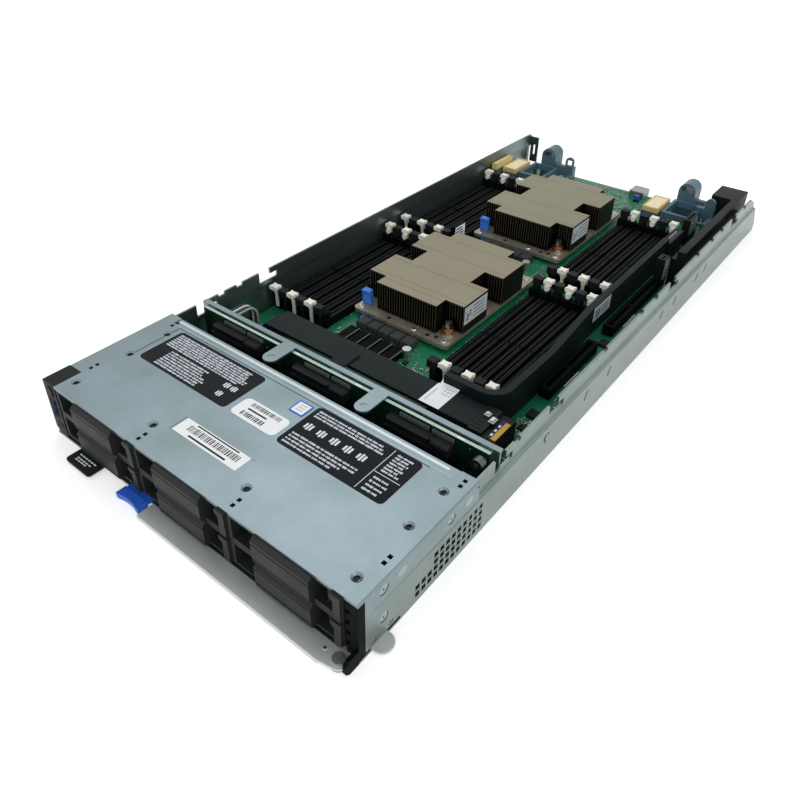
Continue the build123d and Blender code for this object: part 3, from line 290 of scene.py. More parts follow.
@dataclass(frozen=True)
class CircuitLaminate(Finish):
    """Glass-fibre board under green resist: copper runs show a little paler, with tinned via dots."""

    resist: str = "#0E6042"
    run: str = "#249566"
    via: str = "#A9B39A"
    length: float = 26.0
    pitch: float = 2.4
    patch: float = 16.0
    via_pitch: float = 5.0
    via_share: float = 0.11

    def paint(self, tree: bpy.types.NodeTree, shader: bpy.types.Node, place: Any) -> None:
        """Runs as long bricks that fade in patches, vias as small dots in a cell pattern.

        Args:
            tree: Node tree of the material.
            shader: Its principled shader.
            place: Object coordinates in metres.
        """
        runs = add(
            tree, "ShaderNodeTexBrick", {"offset": 0.37, "squash": 1.0},
            {
                "Vector": place, "Scale": per_mm(1.0), "Brick Width": self.length,
                "Row Height": self.pitch, "Mortar Size": 0.42, "Color1": (1, 1, 1, 1),
                "Color2": (0.6, 0.6, 0.6, 1), "Mortar": (0, 0, 0, 1),
            },
        )
        patch = add(
            tree, "ShaderNodeTexNoise", None,
            {"Vector": place, "Scale": per_mm(self.patch), "Detail": 2.0},
        )
        amount = add(
            tree, "ShaderNodeMath", {"operation": "MULTIPLY"},
            {0: runs.outputs["Color"], 1: patch.outputs["Fac"]},
        )
        copper = add(
            tree, "ShaderNodeMix", {"data_type": "RGBA"},
            {0: amount.outputs[0], 6: linear(self.resist), 7: linear(self.run)},
        )
        dots = add(
            tree, "ShaderNodeTexVoronoi", None,
            {"Vector": place, "Scale": per_mm(self.via_pitch), "Randomness": 0.8},
        )
        dot = add(
            tree, "ShaderNodeMath", {"operation": "LESS_THAN"},
            {0: dots.outputs["Distance"], 1: self.via_share},
        )
        colour = add(
            tree, "ShaderNodeMix", {"data_type": "RGBA"},
            {0: dot.outputs[0], 6: copper.outputs[2], 7: linear(self.via)},
        )
        bump = add(
            tree, "ShaderNodeBump", None,
            {"Height": amount.outputs[0], "Strength": 0.2, "Distance": 0.1 * MM},
        )
        tree.links.new(colour.outputs[2], shader.inputs["Base Color"])
        tree.links.new(bump.outputs[0], shader.inputs["Normal"])
        shader.inputs["Roughness"].default_value = 0.36
        shader.inputs["Specular IOR Level"].default_value = 0.3


@dataclass(frozen=True)
class FoldedFins(Finish):
    """Nickel-plated folded fins: warm satin grey, hair joints between the tops, and painted shade in the
    gaps, on the flanks and down the fin ends.
    """

    pale: str = "#938E79"
    deep: str = "#807B67"
    joint: str = "#7E7966"
    # The first two colours here are painted shade: one for the gaps between fins and down the fin ends, one
    # for the flanks.
    painted_gap_shade: str = "#080706"
    side: str = "#060504"
    pitch: float = 2.335
    joint_share: float = 0.16
    cloud: float = 45.0
    reach: float = 5.0
    tip: float = 35.6
    top: float = 36.4

    def paint(self, tree: bpy.types.NodeTree, shader: bpy.types.Node, place: Any) -> None:
        """Clouded plating, a faint joint at every fin, painted shade in the gaps and on the flanks, and
        painted shade on the fin ends under their top millimetre, which leaves the tips bright as a painted
        highlight.

        Args:
            tree: Node tree of the material.
            shader: Its principled shader.
            place: Object coordinates in metres.
        """
        split = add(tree, "ShaderNodeSeparateXYZ", None, {0: place})
        step = add(
            tree, "ShaderNodeMath", {"operation": "MULTIPLY"},
            {0: split.outputs[0], 1: per_mm(self.pitch)},
        )
        part = add(tree, "ShaderNodeMath", {"operation": "FRACT"}, {0: step.outputs[0]})
        seam = add(
            tree, "ShaderNodeMath", {"operation": "LESS_THAN"},
            {0: part.outputs[0], 1: self.joint_share},
        )
        cloud = add(
            tree, "ShaderNodeTexNoise", None,
            {"Vector": place, "Scale": per_mm(self.cloud), "Detail": 3.0},
        )
        plate = add(
            tree, "ShaderNodeMix", {"data_type": "RGBA"},
            {0: cloud.outputs["Fac"], 6: linear(self.deep), 7: linear(self.pale)},
        )
        colour = add(
            tree, "ShaderNodeMix", {"data_type": "RGBA"},
            {0: seam.outputs[0], 6: plate.outputs[2], 7: linear(self.joint)},
        )
        # Painted shade: the colour darkens to near-black where the fins close in round a point, by ambient
        # occlusion.
        open_sky = add(tree, "ShaderNodeAmbientOcclusion", {"samples": 8}, {"Distance": self.reach * MM})
        lit = add(
            tree, "ShaderNodeMapRange", None, {0: open_sky.outputs["AO"], 1: 0.68, 2: 0.97},
        )
        shaded = add(
            tree, "ShaderNodeMix", {"data_type": "RGBA"},
            {0: lit.outputs[0], 6: linear(self.painted_gap_shade), 7: colour.outputs[2]},
        )
        facing = add(
            tree, "ShaderNodeSeparateXYZ", None, {0: add(tree, "ShaderNodeNewGeometry").outputs["Normal"]},
        )
        # Painted shade on the flanks: faces that point along x darken to a near-black.
        sideways = add(tree, "ShaderNodeMath", {"operation": "ABSOLUTE"}, {0: facing.outputs["X"]})
        painted_flank_shade = add(tree, "ShaderNodeMapRange", None, {0: sideways.outputs[0], 1: 0.5, 2: 0.8, 4: 0.95})
        flank_shaded = add(
            tree, "ShaderNodeMix", {"data_type": "RGBA"},
            {0: painted_flank_shade.outputs[0], 6: shaded.outputs[2], 7: linear(self.side)},
        )
        # Painted shade on the fin ends: faces that point along y darken under their top millimetre, so the
        # tips stay bright as a painted highlight.
        endways = add(tree, "ShaderNodeMath", {"operation": "ABSOLUTE"}, {0: facing.outputs["Y"]})
        below_tip_shade = add(
            tree, "ShaderNodeMapRange", None,
            {0: split.outputs[2], 1: self.tip * MM, 2: self.top * MM, 3: 0.62, 4: 0.0},
        )
        end = add(
            tree, "ShaderNodeMath", {"operation": "MULTIPLY"},
            {0: endways.outputs[0], 1: below_tip_shade.outputs[0]},
        )
        end_shaded = add(
            tree, "ShaderNodeMix", {"data_type": "RGBA"},
            {0: end.outputs[0], 6: flank_shaded.outputs[2], 7: linear(self.painted_gap_shade)},
        )
        rough = add(tree, "ShaderNodeMapRange", None, {0: cloud.outputs["Fac"], 3: 0.36, 4: 0.48})
        tree.links.new(end_shaded.outputs[2], shader.inputs["Base Color"])
        tree.links.new(rough.outputs[0], shader.inputs["Roughness"])
        shader.inputs["Metallic"].default_value = 0.6
        shader.inputs["Specular IOR Level"].default_value = 0.12


@dataclass(frozen=True)
class PlatedMetal(Finish):
    """Bright plated or machined metal with fine turning streaks."""

    pale: str = "#C9CDCF"
    deep: str = "#A7ADB0"
    rough: float = 0.28
    streak: float = 0.9

    def paint(self, tree: bpy.types.NodeTree, shader: bpy.types.Node, place: Any) -> None:
        """Streaks in colour and bump.

        Args:
            tree: Node tree of the material.
            shader: Its principled shader.
            place: Object coordinates in metres.
        """
        stretch = add(tree, "ShaderNodeMapping", None, {"Vector": place, "Scale": (0.08, 1.0, 1.0)})
        lines = add(
            tree, "ShaderNodeTexNoise", None,
            {"Vector": stretch.outputs[0], "Scale": per_mm(self.streak), "Detail": 3.0},
        )
        colour = add(
            tree, "ShaderNodeMix", {"data_type": "RGBA"},
            {0: lines.outputs["Fac"], 6: linear(self.deep), 7: linear(self.pale)},
        )
        bump = add(
            tree, "ShaderNodeBump", None,
            {"Height": lines.outputs["Fac"], "Strength": 0.05, "Distance": 0.1 * MM},
        )
        tree.links.new(colour.outputs[2], shader.inputs["Base Color"])
        tree.links.new(bump.outputs[0], shader.inputs["Normal"])
        shader.inputs["Metallic"].default_value = 1.0
        shader.inputs["Roughness"].default_value = self.rough


@dataclass(frozen=True)
class WireBundle(Finish):
    """Four thin PVC wires side by side: black, white, black and grey by their place across the row."""

    middle: float = -108.0
    pitch: float = 2.6
    sleeves: tuple[str, ...] = ("#1B1C1E", "#D5D8D8", "#26282A", "#9AA0A2")

    def paint(self, tree: bpy.types.NodeTree, shader: bpy.types.Node, place: Any) -> None:
        """A stepped ramp over the distance across the row.

        Args:
            tree: Node tree of the material.
            shader: Its principled shader.
            place: Object coordinates in metres.
        """
        split = add(tree, "ShaderNodeSeparateXYZ", None, {0: place})
        reach = self.pitch * len(self.sleeves) / 2
        across = add(
            tree, "ShaderNodeMapRange", None,
            {0: split.outputs[0], 1: (self.middle - reach) * MM, 2: (self.middle + reach) * MM},
        )
        ramp = add(tree, "ShaderNodeValToRGB", None, {0: across.outputs[0]})
        ramp.color_ramp.interpolation = "CONSTANT"
        stops = ramp.color_ramp.elements
        while len(stops) < len(self.sleeves):
            stops.new(0.5)
        for number, code in enumerate(self.sleeves):
            stops[number].position = number / len(self.sleeves)
            stops[number].color = linear(code)
        tree.links.new(ramp.outputs[0], shader.inputs["Base Color"])
        shader.inputs["Roughness"].default_value = 0.42


ZINC = ZincSheet("zinc_plated_steel")
TRAY_ZINC = ZincSheet("galvanised_tray_steel", pale="#82908F", deep="#6A7771")
CAGE_ZINC = ZincSheet("plain_zinc_steel", pale="#6C7679", deep="#5F696C")
# Lever steel brightened well past the other zinc: painted light that makes up for the shade the lever lies
# in.
LEVER_ZINC_PAINTED_LIGHT = ZincSheet(
    "lever_steel_painted_light", pale="#D0D4D4", deep="#C2C6C6", metallic=0.6, rough_low=0.36,
)
SPOT_ZINC = ZincSheet("pressed_spot_zinc", pale="#9AA6A3", deep="#909C99")
# Pale zinc of painted highlight for the cover's rear bead and lip.
BEAD_HIGHLIGHT_ZINC = ZincSheet("rolled_edge_painted_highlight", pale="#C9D2D4", deep="#BBC5C7", metallic=0.4)
BLACK = MouldedPlastic("black_moulded_abs", colour="#0F1112", rubbed="#181A1B", shine=0.15)
BLANK_BLACK = MouldedPlastic(
    "black_grained_abs", colour="#212423", rubbed="#2A2D2C", grain=0.9, depth=0.2, shine=0.2,
)
# Black nylon of the sockets, also the painted shade of the groove lines on the drive blanks.
SOCKET_BLACK_AND_GROOVE_SHADE = MouldedPlastic(
    "black_socket_nylon_and_groove_shade", colour="#08090A", rubbed="#0D0F10", grain=0.5, shine=0.03,
)
# Black nylon of the latches and connectors, also the painted shade of the captive screw's well and slot.
LATCH_BLACK_AND_WELL_SHADE = MouldedPlastic(
    "black_latch_nylon_and_well_shade", colour="#14171A", rubbed="#1E2124", grain=0.5, shine=0.12,
)
CONTACT_GREY = MouldedPlastic(
    "grey_contact_edge", colour="#54595B", rubbed="#666B6E", grain=0.8, shine=0.2,
)
# Paler grey of painted highlight along the socket edges.
SOCKET_EDGE_HIGHLIGHT = MouldedPlastic(
    "socket_edge_painted_highlight", colour="#282B2D", rubbed="#34383A", grain=0.8, shine=0.1,
)
TAPE_BLACK = MouldedPlastic(
    "black_cable_jacket", colour="#10191A", rubbed="#162021", rough_low=0.4, rough_high=0.52, shine=0.1,
)
BLUE = MouldedPlastic(
    "blue_moulded_abs", colour="#1F55BE", rubbed="#2F6AD6", rough_low=0.3, rough_high=0.42,
)
CLIP_BLUE = MouldedPlastic("bright_blue_nylon", colour="#3A76E2", rubbed="#4E8AF0", rough_low=0.3)
NAVY = MouldedPlastic("navy_pull_film", colour="#0B1738", rubbed="#14244E", depth=0.03)
PLUG_BLUE = MouldedPlastic("blue_plug_nylon", colour="#2F6E97", rubbed="#4488AE")
PALE = MouldedPlastic("ivory_moulded_nylon", colour="#F1F0E2", rubbed="#F8F7EC", depth=0.04)
SLATE = MouldedPlastic(
    "slate_moulded_nylon", colour="#44606E", rubbed="#587582", rough_low=0.3, rough_high=0.45,
)
CREAM = MouldedPlastic("cream_moulded_lcp", colour="#D4BA72", rubbed="#E2CC8E")
CREAM_PALE = MouldedPlastic("cream_contact_lcp", colour="#FAF1CE", rubbed="#FEF8DE")
LAMINATE = CircuitLaminate("green_glass_laminate")
DARK_LAMINATE = CircuitLaminate("dark_glass_laminate", resist="#06231C", run="#0B3328")
EDGE = MouldedPlastic("sawn_laminate_edge", colour="#A9C7B7", rubbed="#C3DACC", grain=0.4)
STEEL = PlatedMetal("bright_plated_steel")
PORT_STEEL = PlatedMetal("satin_port_steel", pale="#A4ABA8", deep="#868D8A", rough=0.45)
DULL_STEEL = PlatedMetal("dull_captive_steel", pale="#6E7678", deep="#50585A", rough=0.42)
BASE_PLATE = ZincSheet(
    "nickel_machined_plate", pale="#A39C8B", deep="#857E6D", cloud=6.0, metallic=0.5,
)
CAN = PlatedMetal("drawn_aluminium_can", pale="#C4C7C8", deep="#A9ADAE", rough=0.38)
GOLD = PlatedMetal("gold_flash_contact", pale="#A58A42", deep="#86692A", rough=0.34)
COPPER = PlatedMetal("bare_copper_wire", pale="#B8703E", deep="#8F5028", rough=0.34)
TIN = PlatedMetal("tinned_solder_end", pale="#D3D8D4", deep="#B4BAB6", rough=0.4)
FINS = FoldedFins("nickel_folded_fins")
WIRE = WireBundle("pvc_wire_sleeves")
# Dark grey of pressed ferrite, also the painted shade in the crimps on the fin tops.
FERRITE_AND_CRIMP_SHADE = MouldedPlastic(
    "pressed_ferrite_and_crimp_shade", colour="#2C3032", rubbed="#3C4143", rough_low=0.5, rough_high=0.7, shine=0.2,
)
CERAMIC = MouldedPlastic("fired_tan_ceramic", colour="#8A7354", rubbed="#A08A68", grain=0.4)
EPOXY = MouldedPlastic("black_chip_epoxy", colour="#101215", rubbed="#191C1F", grain=0.4, shine=0.15)
PAPER = MouldedPlastic("white_label_paper", colour="#F0F4F6", rubbed="#F6F9FA", depth=0.03)
GREY_PAPER = MouldedPlastic("grey_label_film", colour="#B7C1C3", rubbed="#C5CED0", depth=0.03)
PANEL = MouldedPlastic(
    "black_label_film", colour="#101316", rubbed="#15191D", rough_low=0.4, rough_high=0.5, shine=0.08,
)
# Black ink for print, also used as painted shade in holes, screw sockets and wells.
INK_AND_HOLE_SHADE = MouldedPlastic("black_label_ink_and_hole_shade", colour="#17181A", rubbed="#202224", depth=0.02, shine=0.15)
PALE_INK = MouldedPlastic("grey_label_ink", colour="#D3DDE8", rubbed="#E2EAF2", depth=0.02)
WHITE_INK = MouldedPlastic("white_board_ink", colour="#E4F0E8", rubbed="#F0F7F2", depth=0.02)

SLOT_FINISH: dict[str, Finish] = {
    "zinc_sheet": ZINC,
    "cage_sheet": CAGE_ZINC,
    "black_plastic": BLACK,
    "blue_plastic": BLUE,
    "pale_plastic": PALE,
    "slate_plastic": SLATE,
    "cream_plastic": CREAM,
    "board_laminate": LAMINATE,
    "bright_steel": STEEL,
    "nickel_fins": FINS,
    "nickel_base": BASE_PLATE,
    "cable_sleeve": TAPE_BLACK,
    "wire_sleeve": WIRE,
    "can_aluminium": CAN,
    "ferrite": FERRITE_AND_CRIMP_SHADE,
}


class Piece:
    """One new mesh that rides on a body, built up from slabs, rods and prisms."""

    def __init__(self, name: str, body: str, slot: str) -> None:
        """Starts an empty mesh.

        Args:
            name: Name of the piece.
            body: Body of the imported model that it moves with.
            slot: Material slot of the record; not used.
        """
        self.name = name
        self.body = body
        self.slot = slot
        self.mesh = bmesh.new()
        self.finishes: list[Finish] = []

    def index(self, finish: Finish) -> int:
        """Place of a finish in the piece's material list, adding it if it is new.

        Args:
            finish: Finish to look for.

        Returns:
            Its place.
        """
        if finish not in self.finishes:
            self.finishes.append(finish)
        return self.finishes.index(finish)

    def slab(
        self, low: Vector, high: Vector, finish: Finish, bevel: float = 0.0,
        upright: float = 0.0, steps: int = 2,
    ) -> list[bmesh.types.BMVert]:
        """Adds a block between two corners.

        Args:
            low: Lowest corner in metres.
            high: Highest corner in metres.
            finish: Finish of its faces.
            bevel: Radius on every edge, in millimetres.
            upright: Radius on the four upright edges instead, in millimetres.
            steps: Segments of the bevel.

        Returns:
            The block's vertices.
        """
        size = high - low
        place = Matrix.Translation((low + high) / 2) @ Matrix.Diagonal((*size, 1.0))
        verts = bmesh.ops.create_cube(self.mesh, size=1.0, matrix=place)["verts"]
        edges = list({e for v in verts for e in v.link_edges})
        faces = {f for v in verts for f in v.link_faces}
        for face in faces:
            face.material_index = self.index(finish)
        if upright:
            edges = [e for e in edges if abs(e.verts[0].co.z - e.verts[1].co.z) > size.z / 2]
        radius = (upright or bevel) * MM
        if radius:
            made = bmesh.ops.bevel(
                self.mesh, geom=edges, offset=radius, offset_type="OFFSET", affect="EDGES",
                segments=steps, profile=0.5, material=-1,
            )
            verts = made["verts"]
        return verts

    def rod(
        self, centre: Vector, radius: float, length: float, along: Along, finish: Finish,
        sides: int = 20, tip: float | None = None,
    ) -> list[bmesh.types.BMVert]:
        """Adds a round bar, or a cone where a tip radius is given.

        Args:
            centre: Middle of the bar in metres.
            radius: Radius in millimetres.
            length: Length in millimetres.
            along: Axis it runs along.
            finish: Finish of its faces.
            sides: Number of sides.
            tip: Radius at the far end in millimetres.

        Returns:
            The bar's vertices.
        """
        place = Matrix.Translation(centre) @ along.turn()
        verts = bmesh.ops.create_cone(
            self.mesh, cap_ends=True, segments=sides, radius1=radius * MM,
            radius2=(radius if tip is None else tip) * MM, depth=length * MM, matrix=place,
        )["verts"]
        for face in {f for v in verts for f in v.link_faces}:
            face.material_index = self.index(finish)
        return verts

    def prism(self, outline: list[tuple[float, float]], low: float, high: float, finish: Finish) -> None:
        """Adds an upright prism over an outline.

        Args:
            outline: Corners in order, x and distance from the front, in millimetres.
            low: Height of its underside.
            high: Height of its top.
            finish: Finish of its faces.
        """
        rings = [[self.mesh.verts.new(at(x, y, z)) for x, y in outline] for z in (low, high)]
        faces = [self.mesh.faces.new(ring) for ring in rings]
        for here in range(len(outline)):
            following = (here + 1) % len(outline)
            faces.append(self.mesh.faces.new(
                (rings[0][here], rings[0][following], rings[1][following], rings[1][here]),
            ))
        for face in faces:
            face.material_index = self.index(finish)

    def close(self, *nodes: str) -> bpy.types.Object:
        """Makes the object, lets it ride and hides the solids that it stands for.

        Args:
            nodes: Names of the solids that it replaces.

        Returns:
            The finished object.
        """
        bmesh.ops.recalc_face_normals(self.mesh, faces=self.mesh.faces)
        data = bpy.data.meshes.new(self.name)
        self.mesh.to_mesh(data)
        self.mesh.free()
        thing = bpy.data.objects.new(self.name, data)
        bpy.context.scene.collection.objects.link(thing)
        for finish in self.finishes:
            data.materials.append(finish.make())
        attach(thing, self.body)
        if nodes:
            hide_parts(*nodes)
        LOG.info("%s: %d faces on %s", self.name, len(data.polygons), self.body)
        return thing


@dataclass
class Solids:
    """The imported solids, each with the finish of its slot or one of its own."""

    frame: dict[str, Any]
    special: dict[str, Finish] = field(default_factory=lambda: {
        "memory_sockets_front": SOCKET_BLACK_AND_GROOVE_SHADE,
        "memory_sockets_rear": SOCKET_BLACK_AND_GROOVE_SHADE,
        "card_slots": SOCKET_BLACK_AND_GROOVE_SHADE,
        "backplane_board": DARK_LAMINATE,
        "backplane_thumbscrew": DULL_STEEL,
        "rear_port": PORT_STEEL,
        "corner_bracket": SOCKET_BLACK_AND_GROOVE_SHADE,
        "side_screws": SPOT_ZINC,
        "chassis_tray": TRAY_ZINC,
        "drive_connectors": LATCH_BLACK_AND_WELL_SHADE,
        "processor_sockets": SOCKET_BLACK_AND_GROOVE_SHADE,
        # The lever's zinc is brightened as painted light.
        "release_lever": LEVER_ZINC_PAINTED_LIGHT,
        "wire_plugs": PLUG_BLUE,
        "board_chips": EPOXY,
    })
    special_starts: dict[str, Finish] = field(default_factory=lambda: {
        "dark_latches": LATCH_BLACK_AND_WELL_SHADE,
        "heat_sink_clip": CLIP_BLUE,
        "drive_blank": BLANK_BLACK,
    })

    def dress(self) -> None:
        """Puts a finish on every node by its record slot, or its own where one is given."""
        slots = {row["node"]: row["material_slot"] for row in self.frame["record"]["subparts"]}
        for name, node in self.frame["nodes"].items():
            finish = self.special.get(name, SLOT_FINISH[slots[name]])
            for start, other in self.special_starts.items():
                if name.startswith(start):
                    finish = other
            node.data.materials.clear()
            node.data.materials.append(finish.make())
            LOG.info("%s: %s", name, finish.name)


def span_of(node: str) -> tuple[Vector, Vector]:
    """Lowest and highest corner of one solid.

    Args:
        node: Name of the solid.

    Returns:
        Both corners in millimetres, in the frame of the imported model.
    """
    low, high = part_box(node)
    return Vector(low) / MM, Vector(high) / MM


@dataclass(frozen=True)
class PaperLabel:
    """A white label on the cover: its film, groups of upright bars and plain lines."""

    name: str
    span: Span
    sunk: float
    corner: float
    bars: tuple[tuple[Span, int], ...]
    lines: tuple[Span, ...]


@dataclass
class CoverLabels:
    """Label films in the cover's shallow recesses, plain bars for their printing, and the rear bead and lip
    strip in pale zinc as a painted highlight.
    """

    top: float = 42.15
    sunk: float = 0.12
    film: float = 0.18
    ink: float = 0.03
    corner: float = 3.0
    left: Span = (-101.0, -20.7, 51.0, 85.4)
    left_blocks: tuple[tuple[float, float], ...] = ((14.0, 15.0), (8.0, 15.0), (12.0, 7.0))
    right: Span = (21.7, 96.3, 50.6, 86.6)
    right_blocks: int = 5
    block_pitch: float = 9.6
    divider_x: float = 78.0
    divider_y: float = 66.8
    divider_half: float = 0.2
    papers: tuple[PaperLabel, ...] = (
        PaperLabel(
            "cover_label_white", (-16.4, 19.0, 51.2, 66.8), 0.12, 3.6,
            (((-10.0, 13.0, 62.0, 65.2), 21), ((-10.0, 8.0, 53.4, 57.0), 22)),
            ((-9.0, 6.0, 58.9, 60.1),),
        ),
        PaperLabel(
            "cover_label_low", (-28.6, 23.0, 21.2, 33.4), 0.05, 0.4,
            (((-22.0, 18.0, 25.6, 30.0), 31),),
            ((-19.0, 15.0, 31.2, 32.1), (-17.0, 13.0, 22.6, 23.8)),
        ),
    )
    badge: Span = (9.0, 19.6, 73.4, 84.0)
    badge_border: float = 1.0
    badge_rows: tuple[float, ...] = (76.2, 78.4, 80.6)
    bead_line: float = 88.1
    bead_length: float = 226.0
    # Span of the flat strip of painted highlight on the cover's lip.
    strip: Span = (-113.0, 108.0, 91.4, 93.4)

    @property
    def level(self) -> float:
        """Height of the films that lie in a recess."""
        return self.top - self.sunk

    def build(self) -> None:
        """Builds both dark panels, the white labels, the small square and the bead with its painted
        highlight.
        """
        self.left_panel()
        self.right_panel()
        for label in self.papers:
            self.paper_label(label)
        self.badge_label()
        self.bead()

    def left_panel(self) -> None:
        """Dark panel at the left: two groups of rows and three clusters of bars."""
        x0, x1, y0, y1 = self.left
        panel = Piece("cover_label_left", SLED, "black_plastic")
        self.film_on(panel, self.left, self.level, PANEL, self.corner)
        self.rows(panel, (x0, x1, y0 + 17.0, y1), 7, 0.88, 3)
        self.rows(panel, (x0 + 10.0, x1 - 20.0, y0, y0 + 19.0), 7, 0.75, 4)
        for back, up in self.left_blocks:
            self.block(panel, x1 - back, y0 + up, 4.6)
        panel.close()

    def right_panel(self) -> None:
        """Dark panel at the right: rows, a line of clusters and two ruled fields at its end."""
        x0, x1, y0, y1 = self.right
        x, y, half = self.divider_x, self.divider_y, self.divider_half
        panel = Piece("cover_label_right", SLED, "black_plastic")
        self.film_on(panel, self.right, self.level, PANEL, self.corner)
        self.rows(panel, (x0, x, y1 - 10.6, y1), 3, 0.8, 5)
        self.rows(panel, (x0, x, y0, y0 + 14.0), 4, 0.7, 6)
        for number in range(self.right_blocks):
            self.block(panel, x0 + 7.0 + self.block_pitch * number, y0 + 19.4, 5.6)
        self.rows(panel, (x, x1, y, y1), 7, 0.75, 9)
        self.rows(panel, (x, x1, y0, y), 4, 0.7, 11)
        self.line(panel, x - half, x + half, y0 + 1, y1 - 1)
        self.line(panel, x, x1 - 1, y - half, y + half)
        panel.close()

    def film_on(self, piece: Piece, span: Span, level: float, finish: Finish, corner: float) -> None:
        """Lays one film with rounded corners, its top at a level."""
        x0, x1, y0, y1 = span
        piece.slab(at(x0, y0, level - self.film), at(x1, y1, level), finish, upright=corner, steps=5)

    def line(self, piece: Piece, x0: float, x1: float, y0: float, y1: float) -> None:
        """Draws one pale bar on a dark film."""
        piece.slab(at(x0, y0, self.level - self.ink), at(x1, y1, self.level + self.ink), PALE_INK)

    def rows(self, piece: Piece, span: Span, count: int, fill: float, seed: int) -> None:
        """Fills a span with rows of short pale bars of mixed lengths.

        Args:
            piece: Piece that gets the bars.
            span: Lowest and highest x, then lowest and highest y, in millimetres.
            count: Number of rows.
            fill: Least share of the row that is filled.
            seed: Start of the random draw.
        """
        draw = random.Random(seed)
        x0, x1, y0, y1 = span
        pitch = (y1 - y0 - 3.6) / count
        for row in range(count):
            y = y1 - 2.6 - pitch * (row + 0.3)
            x = x0 + 3.0
            limit = x0 + (x1 - x0 - 3.4) * (fill + (1 - fill) * draw.random())
            while x < limit:
                end = min(x + 1.4 + draw.random() * 5.0, limit)
                while x < end:
                    tall = 0.45 + 0.35 * draw.random()
                    self.line(piece, x, x + 0.6, y - tall, y + tall)
                    x += 0.82
                x += 0.6

    def block(self, piece: Piece, x: float, y: float, size: float) -> None:
        """Draws a cluster of three plain upright bars round its middle.

        Args:
            piece: Piece that gets the bars.
            x: Middle of the cluster.
            y: Middle of the cluster, from the front.
            size: Height of its tallest bar.
        """
        for step, share in ((-1, 0.7), (0, 1.0), (1, 0.8)):
            middle, tall = x + step * size * 0.36, size * share / 2
            self.line(piece, middle - size * 0.12, middle + size * 0.12, y - tall, y + tall)

    def paper_label(self, label: PaperLabel) -> None:
        """White label with its upright bars and its lines.

        Args:
            label: Label to build.
        """
        level = self.top - label.sunk
        piece = Piece(label.name, SLED, "pale_plastic")
        self.film_on(piece, label.span, level, PAPER, label.corner)
        for span, seed in label.bars:
            self.bars(piece, span, level, seed)
        for x0, x1, y0, y1 in label.lines:
            piece.slab(at(x0, y0, level), at(x1, y1, level + self.ink), INK_AND_HOLE_SHADE)
        piece.close()

    def bars(self, piece: Piece, span: Span, level: float, seed: int) -> None:
        """Draws upright black bars of mixed widths over a span.

        Args:
            piece: Piece that gets the bars.
            span: Lowest and highest x, then lowest and highest y, in millimetres.
            level: Height of the film's top.
            seed: Start of the random draw.
        """
        draw = random.Random(seed)
        x, x1, y0, y1 = span
        while x < x1:
            width = 0.3 + 0.7 * draw.random()
            piece.slab(at(x, y0, level - self.ink), at(x + width, y1, level + self.ink), INK_AND_HOLE_SHADE)
            x += width + 0.4 + 0.5 * draw.random()

    def badge_label(self) -> None:
        """Small white square with a blue border and three grey bars."""
        piece = Piece("cover_label_small", SLED, "pale_plastic")
        level, border = self.level, self.badge_border
        self.film_on(piece, self.badge, level, BLUE, 0.5)
        x0, x1, y0, y1 = self.badge
        piece.slab(at(x0 + border, y0 + border, level), at(x1 - border, y1 - border, level + 0.04), PAPER)
        for y in self.badge_rows:
            piece.slab(at(11.6, y, level), at(17.0, y + 1.1, level + 0.06), GREY_PAPER)
        piece.close()

    def bead(self) -> None:
        """Rolled bead along the step near the cover's rear edge, and a flat strip on the lip behind it, both
        in pale zinc as a painted highlight.
        """
        x0, x1, y0, y1 = self.strip
        piece = Piece("cover_rear_bead_highlight", SLED, "zinc_sheet")
        # Pale zinc of painted highlight on the bead and on the flat strip.
        piece.rod(at(0.0, self.bead_line, self.top - 0.42), 0.4, self.bead_length, Along.X, BEAD_HIGHLIGHT_ZINC, 12)
        piece.slab(at(x0, y0, self.top - 0.7), at(x1, y1, self.top - 0.5), BEAD_HIGHLIGHT_ZINC, bevel=0.08)
        piece.close()


